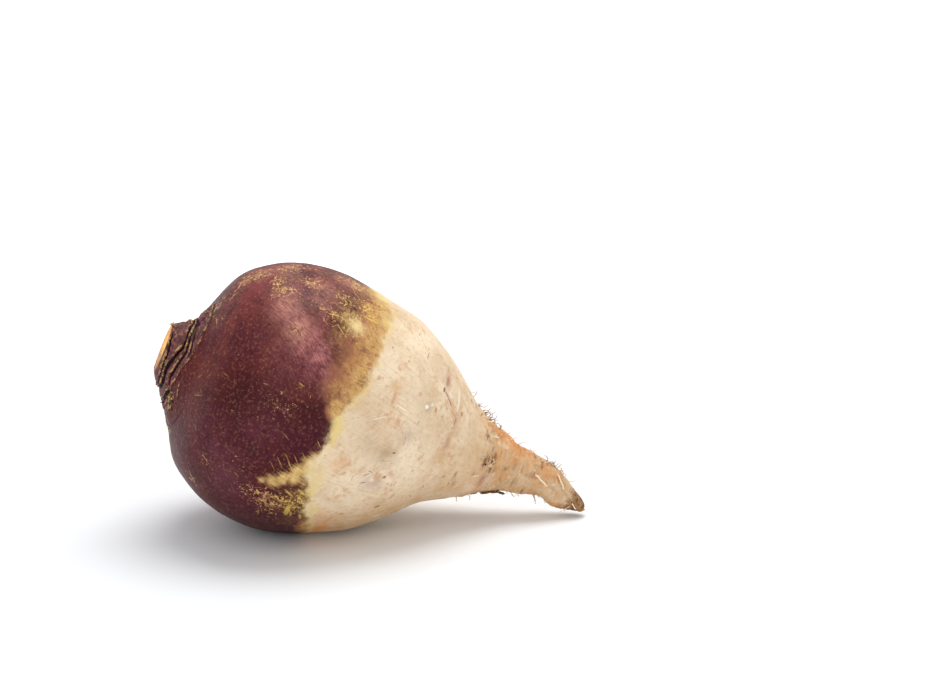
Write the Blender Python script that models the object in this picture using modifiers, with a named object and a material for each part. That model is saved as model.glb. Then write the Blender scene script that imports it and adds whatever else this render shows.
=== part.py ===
"""A purple-topped swede turnip, trimmed at the neck and lying on its side.

Metres, +Z up. The root is first built upright, crown up and tip down, and is then laid
over so that it rests on a small flat spot of its belly. The origin is the middle of that
spot. The crown points along -X and the tip along +X.

The turnip grew as one piece, so it is one solid: the bulb, the neck with its leaf scars,
the taproot and the rootlets that stand out of it.
"""

import math
import random

import bmesh
import bpy
import numpy as np
from mathutils import Matrix, Vector

# Driving dimensions
ROOT_LENGTH = 0.190  # cut face to tip, along the root
BULB_RADIUS = 0.0550
NECK_RADIUS = 0.0098  # the cut face
LYING_ANGLE = math.radians(22.0)  # how far the crown stands up from level
SPOT_DEPTH = 0.0010  # what the resting spot takes off the round of the belly

# Outline below the cut face: share of the root's length, share of the bulb's radius
OUTLINE = [
    (0.012, 0.235),
    (0.036, 0.320),
    (0.058, 0.425),
    (0.072, 0.530),
    (0.088, 0.645),
    (0.106, 0.742),
    (0.139, 0.836),
    (0.183, 0.922),
    (0.238, 0.982),
    (0.304, 1.000),
    (0.370, 0.962),
    (0.436, 0.896),
    (0.501, 0.820),
    (0.567, 0.672),
    (0.633, 0.495),
    (0.699, 0.352),
    (0.765, 0.240),
    (0.831, 0.172),
    (0.897, 0.138),
    (0.940, 0.108),
    (0.975, 0.072),
    (0.993, 0.036),
]
# How far the root's middle line bends towards its upper side, on the same shares
BEND = [
    (0.00, 0.025),
    (0.03, -0.025),
    (0.06, -0.045),
    (0.10, 0.000),
    (0.36, 0.000),
    (0.53, 0.050),
    (0.62, 0.085),
    (0.70, 0.052),
    (0.87, 0.072),
    (0.93, 0.030),
    (1.00, -0.030),
]
SIDE_BEND = [(0.00, 0.000), (0.55, 0.000), (0.80, 0.035), (1.00, -0.030)]

# Swellings that keep the root from being round: waves round it, radians along it, phase, and
# height as a share of the radius
SWELLINGS = [(2, 0, 0.6, 0.012), (3, 4, -1.1, 0.009), (5, 9, 0.0, 0.006), (2, 17, -1.6, 0.005)]
NECK_OVAL = 0.05
NECK_OVAL_END = 0.03
NECK_END = 0.11

# Knots of the taproot, in the same terms but with heights in metres, and its collar: share,
# width as a share, and height
KNOTS = [(2, 74, 0.0, 0.00030), (3, 55, 1.0, 0.00032), (5, 88, 2.0, 0.00022)]
KNOTS_START = 0.66
KNOTS_RISE = 0.12
COLLAR = (0.725, 0.012, 0.0007)

# Rings: how far apart they are along the surface, from share to share of the length
RING_GAPS = [(0.00, 0.0008), (0.07, 0.0010), (0.16, 0.0056), (0.56, 0.0052), (0.70, 0.0034), (1.00, 0.0030)]
CUT_FACE_RINGS = (0.0, 0.5, 0.88)  # rings across the cut face, as shares of its radius
STEPS_ROUND = 56

# Leaf scars, the oldest first: where the middle is round the neck (0 is the upper side, -90 the
# side at -Y), how far down from the cut edge the lower rim is there, half width round the neck,
# and height of the plate
LEAF_SCARS = [
    (178, 0.0205, 95, 0.0062),
    (95, 0.0165, 82, 0.0050),
    (-12, 0.0155, 60, 0.0024),
    (-55, 0.0112, 78, 0.0034),
    (146, 0.0108, 85, 0.0034),
    (-20, 0.0078, 100, 0.0050),
    (62, 0.0062, 80, 0.0030),
    (-150, 0.0034, 100, 0.0022),
]
SCAR_BOW = 0.5  # how far a plate's ends reach up, as a share of the way to the cut
BOW_POWER = 1.6
PLATE_HEIGHT = 0.0009
FURROW_DEPTH = 0.0011
FURROW_WIDTH = 0.0016
RIM_HEIGHT = 0.0006
EDGE_WIDTH = 0.0006
END_GAP = 0.018  # how far off a plate is, along the surface, a half width past its ends
FULL_FURROW = 0.4  # the share of a plate's height past which the furrows round it are at their full depth
NO_SCAR_PATH = 0.0008  # the cut edge itself stays plain this far down
ON_AXIS = 0.000001

# Rootlets: two rows down the taproot, and a few strays
ROOTLET_SEED = 7
ROOTLET_ROWS = (math.radians(-14.0), math.radians(172.0))
ROOTLETS_A_ROW = 8
STRAY_ROOTLETS = 5
ROOTLET_RADIUS = (0.00040, 0.00070)
ROOTLET_REACH = (0.0018, 0.0050)
ROOTLET_SHARES = (0.69, 0.965)

SKIN_COLOUR = (0.42, 0.21, 0.17, 1.0)


def clear_scene():
    for obj in list(bpy.data.objects):
        bpy.data.objects.remove(obj, do_unlink=True)


def new_collection(name):
    collection = bpy.data.collections.new(name)
    bpy.context.scene.collection.children.link(collection)
    return collection


def smooth_curve(points, per_span):
    """Points on a Catmull-Rom curve through the given ones."""
    given = np.array(points, float)
    held = np.vstack([2 * given[0] - given[1], given, 2 * given[-1] - given[-2]])
    found = []
    for a, b, c, d in zip(held, held[1:], held[2:], held[3:]):
        for t in np.arange(per_span) / per_span:
            bend = 2 * a - 5 * b + 4 * c - d
            twist = 3 * b - a - 3 * c + d
            found.append(b + 0.5 * ((c - a) * t + bend * t**2 + twist * t**3))
    return np.vstack([found, given[-1]])


def smooth_table(table, share):
    """A table's value at each share, eased from one row to the next."""
    line = smooth_curve(table, 12)
    return np.interp(share, line[:, 0], line[:, 1])


def side_outline():
    """The root's outline below the cut face, from the cut edge to the tip, as (down, radius) in metres."""
    rows = [(0.0, NECK_RADIUS / BULB_RADIUS)] + OUTLINE + [(1.0, 0.0)]
    line = smooth_curve(rows, 16) * (ROOT_LENGTH, BULB_RADIUS)
    return np.maximum(line, 0.0)


def path_down(line):
    """Distance along an outline to each of its points."""
    steps = np.linalg.norm(np.diff(line, axis=0), axis=1)
    return np.concatenate([[0.0], np.cumsum(steps)])


def spaced_outline():
    """The outline at the rings, closer together where the neck and the taproot need it."""
    line = side_outline()
    path = path_down(line)
    rings = [0.0]
    while rings[-1] < path[-1]:
        share = np.interp(rings[-1], path, line[:, 0]) / ROOT_LENGTH
        rings.append(rings[-1] + np.interp(share, *zip(*RING_GAPS)))
    rings = np.array(rings) * path[-1] / rings[-1]
    return np.stack([np.interp(rings, path, line[:, k]) for k in range(2)], axis=1)


def turned_root(collection):
    """The plain turned root, upright, with its tip at the origin and its cut face up."""
    rings = [(0.0, NECK_RADIUS * share) for share in CUT_FACE_RINGS] + list(spaced_outline())
    mesh = bpy.data.meshes.new("outline")
    places = [(radius, 0.0, ROOT_LENGTH - down) for down, radius in rings]
    mesh.from_pydata(places, [(i, i + 1) for i in range(len(places) - 1)], [])
    outline = bpy.data.objects.new("outline", mesh)
    collection.objects.link(outline)
    screw = outline.modifiers.new("Turned", "SCREW")
    screw.axis = "Z"
    screw.angle = 2 * math.pi
    screw.steps = STEPS_ROUND
    screw.render_steps = STEPS_ROUND
    screw.use_merge_vertices = True
    screw.merge_threshold = 0.00005
    screw.use_smooth_shade = True
    return as_mesh(outline, "turnip", collection)


def as_mesh(source, name, collection):
    """A mesh object of a source object as evaluated, in the source's place. The source is removed."""
    bpy.context.view_layer.update()
    evaluated = source.evaluated_get(bpy.context.evaluated_depsgraph_get())
    mesh = bpy.data.meshes.new_from_object(evaluated)
    place = source.matrix_world.copy()
    bpy.data.objects.remove(source, do_unlink=True)
    shape = bmesh.new()
    shape.from_mesh(mesh)
    bmesh.ops.remove_doubles(shape, verts=shape.verts, dist=0.00002)
    shape.to_mesh(mesh)
    shape.free()
    mesh.name = name
    made = bpy.data.objects.new(name, mesh)
    made.matrix_world = place
    collection.objects.link(made)
    return made


def turned_by(angle, centre):
    """Angle less centre, brought between minus pi and pi."""
    return (angle - centre + math.pi) % (2 * math.pi) - math.pi


def scar_relief(path, angle):
    """Height of the leaf scars: plates with a rim along the lower edge, and furrows round them."""
    plates = np.zeros_like(path)
    furrows = np.zeros_like(path)
    rims = np.zeros_like(path)
    for centre, rim_path, half_width, height in LEAF_SCARS:
        across = np.abs(turned_by(angle, math.radians(centre))) / math.radians(half_width)
        lens = np.sqrt(np.clip(1 - across**2, 0, 1))
        rim_path = rim_path * (1 - SCAR_BOW * np.minimum(across, 1) ** BOW_POWER)
        half_height = height * lens / 2
        past_ends = np.clip(across - 1, 0, 1) * END_GAP
        beyond = np.abs(path - rim_path + half_height) - half_height + past_ends
        plates = np.maximum(plates, np.clip(0.5 - beyond / EDGE_WIDTH, 0, 1))
        furrow = np.exp(-(((beyond - FURROW_WIDTH / 2) / (FURROW_WIDTH / 2)) ** 2))
        furrows = np.maximum(furrows, furrow * np.clip(lens / FULL_FURROW, 0, 1))
        rims = np.maximum(rims, lens * np.exp(-(((path - rim_path) / EDGE_WIDTH) ** 2)))
    return PLATE_HEIGHT * plates + RIM_HEIGHT * rims - FURROW_DEPTH * furrows * (1 - plates)


def waves(table, share, angle):
    """The sum of a table's waves round and along the root."""
    return sum(height * np.cos(turns * angle + along * share + phase) for turns, along, phase, height in table)


def swelling(share, angle):
    """What the bulb and taproot stand out of round by, as a share of the radius. None of it is at the cut."""
    neck = NECK_OVAL * np.cos(2 * angle + 1) * np.exp(-share / NECK_OVAL_END)
    return waves(SWELLINGS, share, angle) * np.clip(share / NECK_END, 0, 1) + neck


def knobs(share, angle):
    """The collar where the taproot begins, and its low rings and knots, in metres."""
    at, width, height = COLLAR
    collar = height * np.exp(-(((share - at) / width) ** 2))
    return collar + waves(KNOTS, share, angle) * np.clip((share - KNOTS_START) / KNOTS_RISE, 0, 1)


def shape_root(root):
    """Gives the plain turned root its leaf scars, swellings, knots and bend."""
    mesh = root.data
    count = len(mesh.vertices)
    places = np.empty(count * 3)
    normals = np.empty(count * 3)
    mesh.vertices.foreach_get("co", places)
    mesh.vertices.foreach_get("normal", normals)
    places = places.reshape(-1, 3)
    normals = normals.reshape(-1, 3)
    line = side_outline()
    radius = np.hypot(places[:, 0], places[:, 1])
    angle = np.arctan2(places[:, 1], places[:, 0])
    down = ROOT_LENGTH - places[:, 2]
    share = down / ROOT_LENGTH
    path = np.interp(down, line[:, 0], path_down(line))
    relief = scar_relief(path, angle) * np.clip(path / NO_SCAR_PATH, 0, 1) + knobs(share, angle)
    relief[radius < ON_AXIS] = 0
    places[:, :2] *= 1 + swelling(share, angle)[:, None]
    places += normals * relief[:, None]
    places[:, 0] += smooth_table(BEND, share) * BULB_RADIUS
    places[:, 1] += smooth_table(SIDE_BEND, share) * BULB_RADIUS
    mesh.vertices.foreach_set("co", places.ravel())
    mesh.update()


def surface_at(root, share, angle):
    """The place on the root's skin and its outward direction at a share of the length and an angle."""
    middle = Vector(
        (
            float(smooth_table(BEND, share)) * BULB_RADIUS,
            float(smooth_table(SIDE_BEND, share)) * BULB_RADIUS,
            ROOT_LENGTH * (1 - share),
        )
    )
    out = Vector((math.cos(angle), math.sin(angle), 0.0))
    hit, place, normal, _ = root.ray_cast(middle + out * BULB_RADIUS * 2, -out)
    return (place, normal) if hit else (middle, out)


def add_rootlet(collection, name, place, outward, aim, reach, radius):
    """A short tapered rootlet that starts inside the root and bends towards its aim."""
    curve = bpy.data.curves.new(name, "CURVE")
    curve.dimensions = "3D"
    curve.bevel_depth = 1.0
    curve.bevel_resolution = 0
    curve.use_fill_caps = True
    curve.resolution_u = 1
    spline = curve.splines.new("POLY")
    points = [
        (place - outward * radius * 3, 1.15 * radius),
        (place + outward * radius * 0.8, radius),
        (place + outward * reach * 0.45 + aim * reach * 0.20, 0.8 * radius),
        (place + outward * reach * 0.75 + aim * reach * 0.60, 0.55 * radius),
    ]
    spline.points.add(len(points) - 1)
    for point, (where, thickness) in zip(spline.points, points):
        point.co = (*where, 1.0)
        point.radius = thickness
    rootlet = bpy.data.objects.new(name, curve)
    collection.objects.link(rootlet)
    as_mesh(rootlet, name, collection)


def grow_rootlets(root, collection):
    """Rootlets in two rows on opposite sides of the taproot, thinner towards the tip, and some strays."""
    draw = random.Random(ROOTLET_SEED)
    low, high = ROOTLET_SHARES
    places = []
    for row in ROOTLET_ROWS:
        for i in range(ROOTLETS_A_ROW):
            share = low + (high - low) * (i + draw.uniform(0.1, 0.9)) / ROOTLETS_A_ROW
            places.append((share, row + draw.uniform(-0.28, 0.28)))
    for _ in range(STRAY_ROOTLETS):
        places.append((draw.uniform(low, high - 0.03), draw.uniform(-math.pi, math.pi)))
    for i, (share, angle) in enumerate(places):
        place, outward = surface_at(root, share, angle)
        down = Vector((0.0, 0.0, -1.0))
        side = outward.cross(down)
        aim = (down * draw.uniform(0.3, 1.0) + side * draw.uniform(-0.8, 0.8)).normalized()
        radius = draw.uniform(*ROOTLET_RADIUS)
        reach = draw.uniform(*ROOTLET_REACH)
        add_rootlet(collection, f"rootlet_{i:02d}", place, outward, aim, reach, radius)


def join_rootlets(root, rootlets):
    """Fuses the rootlets into the root, and removes the objects that they were."""
    union = root.modifiers.new("Rootlets", "BOOLEAN")
    union.operation = "UNION"
    union.operand_type = "COLLECTION"
    union.collection = rootlets
    union.solver = "EXACT"
    with bpy.context.temp_override(object=root, active_object=root):
        bpy.ops.object.modifier_apply(modifier=union.name)
    for obj in list(rootlets.objects):
        bpy.data.objects.remove(obj, do_unlink=True)
    bpy.data.collections.remove(rootlets)


def lay_down(root):
    """Lays the root over, so that the lowest SPOT_DEPTH of its belly is under the surface at Z 0."""
    root.data.transform(Matrix.Rotation(LYING_ANGLE - math.pi / 2, 4, "Y"))
    lowest = min(v.co.z for v in root.data.vertices)
    root.data.transform(Matrix.Translation((0.0, 0.0, -lowest - SPOT_DEPTH)))
    under = [v.co for v in root.data.vertices if v.co.z < 0.0]
    middle = sum(under, Vector()) / len(under)
    root.data.transform(Matrix.Translation((-middle.x, -middle.y, 0.0)))


def flatten_spot(root, cutters):
    """Cuts the flat spot that the turnip rests on."""
    bpy.ops.mesh.primitive_cube_add(size=1.0)
    under = bpy.context.object
    under.name = "under_surface"
    under.scale = (4 * BULB_RADIUS, 4 * BULB_RADIUS, BULB_RADIUS)
    under.location = (0.0, 0.0, -BULB_RADIUS / 2)
    under.display_type = "WIRE"
    under.hide_render = True
    for collection in list(under.users_collection):
        collection.objects.unlink(under)
    cutters.objects.link(under)
    cut = root.modifiers.new("Resting spot", "BOOLEAN")
    cut.operation = "DIFFERENCE"
    cut.object = under
    cut.solver = "EXACT"


def skin_material():
    material = bpy.data.materials.new("turnip_skin")
    material.use_nodes = True
    shader = material.node_tree.nodes["Principled BSDF"]
    shader.inputs["Base Color"].default_value = SKIN_COLOUR
    shader.inputs["Roughness"].default_value = 0.5
    shader.inputs["Metallic"].default_value = 0.0
    return material


def main():
    clear_scene()
    parts = new_collection("turnip")
    cutters = new_collection("cutters")
    rootlets = new_collection("rootlets")
    root = turned_root(parts)
    shape_root(root)
    grow_rootlets(root, rootlets)
    join_rootlets(root, rootlets)
    lay_down(root)
    flatten_spot(root, cutters)
    root.data.materials.append(skin_material())
    root.data.shade_smooth()
    root.data.set_sharp_from_angle(angle=math.radians(40.0))


main()
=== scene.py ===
import math
import random

import bmesh
import bpy
import numpy as np
from mathutils import Matrix, Quaternion, Vector, noise


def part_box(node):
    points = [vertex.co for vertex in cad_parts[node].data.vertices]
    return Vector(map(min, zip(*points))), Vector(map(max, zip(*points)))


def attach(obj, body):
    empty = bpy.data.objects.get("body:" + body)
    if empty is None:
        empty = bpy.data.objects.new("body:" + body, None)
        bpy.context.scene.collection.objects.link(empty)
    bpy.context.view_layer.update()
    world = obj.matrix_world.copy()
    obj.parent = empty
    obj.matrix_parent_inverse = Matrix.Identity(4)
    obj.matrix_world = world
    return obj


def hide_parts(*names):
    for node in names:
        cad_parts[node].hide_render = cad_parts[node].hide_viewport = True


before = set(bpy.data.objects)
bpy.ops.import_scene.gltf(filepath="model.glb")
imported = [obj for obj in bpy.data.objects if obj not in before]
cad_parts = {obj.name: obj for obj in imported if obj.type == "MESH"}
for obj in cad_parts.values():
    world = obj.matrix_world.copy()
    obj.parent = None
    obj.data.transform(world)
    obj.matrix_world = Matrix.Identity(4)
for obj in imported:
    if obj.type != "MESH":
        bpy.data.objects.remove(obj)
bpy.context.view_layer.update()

# The root is worked out upright, crown up, and laid over at the end. Angles go round it: 0 is the
# side that ends up on top, -90 the side at -Y, 180 the belly.
root = {
    "length": 0.190,  # cut face to tip
    "bulbRadius": 0.055,
    "neckRadius": 0.0098,
    "lyingAngle": 22.0,
    "spotDepth": 0.001,
    # share of the length, share of the bulb's radius
    "outline": [
        (0.012, 0.235), (0.036, 0.320), (0.058, 0.425), (0.072, 0.530), (0.088, 0.645), (0.106, 0.742),
        (0.139, 0.836), (0.183, 0.922), (0.238, 0.982), (0.304, 1.000), (0.370, 0.962), (0.436, 0.896),
        (0.501, 0.820), (0.567, 0.672), (0.633, 0.495), (0.699, 0.352), (0.765, 0.240), (0.831, 0.172),
        (0.897, 0.138), (0.940, 0.108), (0.975, 0.072), (0.993, 0.036),
    ],
    # how far the middle line bends to the upper side and to +Y, as shares of the bulb's radius
    "bend": [
        (0.00, 0.025), (0.03, -0.025), (0.06, -0.045), (0.10, 0.000), (0.36, 0.000), (0.53, 0.050),
        (0.62, 0.085), (0.70, 0.052), (0.87, 0.072), (0.93, 0.030), (1.00, -0.030),
    ],
    "sideBend": [(0.00, 0.000), (0.55, 0.000), (0.80, 0.035), (1.00, -0.030)],
    # waves round the root, radians along it, phase, height as a share of the radius
    "swellings": [(2, 0, 0.6, 0.012), (3, 4, -1.1, 0.009), (5, 9, 0, 0.006), (2, 17, -1.6, 0.005)],
    "neckOval": (0.05, 0.03),  # how much, and the share by which it fades
    "neckEnd": 0.11,
    "around": 320,  # points round each ring
    # gaps between the rings by share of the length, in metres
    "ringGaps": [(0, 0.00026), (0.07, 0.00030), (0.13, 0.0012), (0.60, 0.0013), (0.70, 0.0009), (1, 0.0008)],
    "cutRings": 14,
    "cutDish": 0.0003,
    "cutGrain": 0.00008,
    "skinGrain": (0.00012, 0.00004),  # low lumps of 14 mm, and finer ones
}

crown = {
    # The lower rims of the leaf bases: angle and path down from the cut edge (mm) along each, then how high
    # the rim stands, and how deep and how wide the furrow below it is (mm)
    "leafRims": [
        ([(-176, 4), (-146, 2.8), (-117, 2.2), (-87, 1.6), (-55, 0.6), (-30, 0.4)], 0.40, 1.1, 0.9),
        ([(-180, 5.2), (-150, 4.6), (-125, 3.9), (-105, 3.4), (-79, 4.4), (-65, 5.9), (-49, 7), (-28, 7.3),
          (-8, 9.2), (20, 10), (60, 7.6), (100, 5.6), (140, 5), (180, 5.2)], 0.60, 1.3, 1.1),
        ([(-128, 7.6), (-109, 6.3), (-85, 7.1), (-68, 8.1), (-41, 9.1), (-11, 10.6), (12, 11.6)], 0.50, 1.1, 0.9),
        ([(-76, 10), (-55, 10.9), (-30, 10.5), (-16, 11.4)], 0.35, 0.9, 0.9),
        ([(-126, 16.2), (-120, 15.1), (-115, 13.8), (-94, 11.3)], 0.25, 0.2, 0.5),
        ([(-176, 9), (-150, 8.2), (-136, 7.8), (-124, 8.6)], 0.50, 1.6, 1.5),
        ([(24, 5), (55, 8), (90, 11.5), (120, 13.5)], 0.50, 1.1, 1),
        ([(70, 9.6), (110, 8), (150, 9), (178, 11)], 0.50, 1.2, 1.1),
        ([(100, 3), (140, 2.4), (176, 3.4)], 0.40, 0.8, 0.8),
        ([(30, 16), (60, 13.2), (86, 14.2)], 0.40, 0.8, 0.9),
    ],
    # the outermost rim, where the crown ends
    "outerRim": ([(-180, 13.6), (-144, 10.6), (-129, 10.3), (-119, 9.2), (-110, 9.3), (-92, 10), (-78, 11),
                  (-58, 14.3), (-37, 16.4), (-16, 18), (10, 20.5), (50, 18), (95, 15), (140, 12.5),
                  (180, 13.6)], 0.45, 0.35, 0.6),
    "edgeFade": 0.0005,  # all of the crown's relief fades over this much at the cut edge
    "rimRun": 1.3,  # how gently a leaf base rises to its rim, mm
    "rimLine": 0.1,  # how far above the rim's lower edge its corky line runs, mm
    "furrowStart": 0.15,  # how far below that edge the furrow starts, mm
    "rimDrop": 0.2,
    "rimEnds": 8.0,  # degrees over which a rim fades at its ends
    "wander": 0.45,  # how far the rims stray, mm
    # path, angle, reach along (mm), reach round (degrees), strength
    "hollows": [(12.2, -14, 1.1, 6, 0.8), (14.2, -5, 1.5, 6, 1), (17, 3, 1.8, 6, 1), (12, -172, 2, 10, 0.9)],
    "hollowDepth": 0.0016,
    "lobes": [(15.6, -152, 2.6, 9, 1), (12.4, 150, 2, 10, 0.7), (19, 40, 2, 12, 0.6)],
    "lobeHeight": 0.0011,
    # knobbly corky ground
    "corkSpots": [
        (11.6, -131, 2, 9, 1), (13.6, -141, 1.4, 6, 0.8), (17.5, -176, 2.2, 9, 0.5), (27, -172, 3, 7, 0.35),
        (22.5, -170, 3.6, 12, 0.6), (19, -3, 1.6, 9, 0.5), (18.3, 120, 4, 25, 0.32), (20.5, 60, 2.4, 22, 0.3),
    ],
    "corkHeight": 0.0007,
    "corkSize": 0.0011,
    "cutLift": 0.0008,  # the cut face stands this much above the plain outline, more at the -Y side
    "cutTilt": 0.0005,
    "cutLiftFade": 0.004,
    "grain": (0.00014, 0.00025),  # fine and coarse roughness of the leaf bases
}

taproot = {
    "knots": [(2, 74, 0, 0.00030), (3, 55, 1, 0.00032), (5, 88, 2, 0.00022)],
    "knotsStart": 0.66,
    "knotsRise": 0.12,
    "collar": (0.725, 0.012, 0.0007),
    "wrinkleHeight": 0.00022,
    "wrinklesStart": 0.60,
    "wrinklesRise": 0.12,
    "wrinkleGap": 0.0016,
    "scaleSpots": [(166, -48, 1.8, 8, 0.6), (169, -80, 3, 10, 1), (173.5, -88, 3, 9, 1), (172.5, -72, 2.6, 10, 1),
                   (168, -30, 3, 14, 0.5), (192, -84, 2, 10, 0.5), (182, -110, 3, 14, 0.45),
                   (175, -155, 3.5, 25, 0.5), (173, 60, 4, 45, 0.8), (174, 140, 4, 30, 0.7)],
    "scaleHeight": 0.0006,
    "rows": (-14, 172),  # rootlets grow mostly in two rows
    "pitSeed": 31,
    "pits": 90,
    "pitShares": (0.64, 0.985),  # they lie between these shares of the length
    "pitWidth": (0.0007, 0.0022),
    "pitHeight": (0.0003, 0.0006),
    "pitDepth": 0.0005,
    "pitsInRows": 0.55,
    "rowSpread": 22,  # degrees
}

# Where the colours lie; paths are in mm down the skin from the cut edge
skinMarks = {
    # ways that strokes run: straight along the root, or climbing round it by so many radians per radius
    "ways": {"meridian": 0.0, "climbing": 1.0, "falling": -0.8, "leaning": 0.3},
    # angle, path where purple gives way to cream
    "purpleEdge": [
        (-180, 99), (-154, 99), (-143, 97), (-137, 95), (-131, 92.2), (-127, 89.5), (-119, 89), (-113, 86.5),
        (-106, 82.5), (-100, 82), (-95, 84.6), (-89, 85.7), (-82, 85.1), (-78, 86.2), (-71.5, 89.5), (-63, 92.7),
        (-54, 94.3), (-45, 95.4), (-35, 96), (-28, 97.4), (-19, 98), (-13, 97), (-8, 94), (-2, 91.6), (20, 88.5),
        (40, 93), (62, 96), (85, 90), (104, 84), (118, 92), (140, 99), (160, 97), (180, 99),
    ],
}

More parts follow.
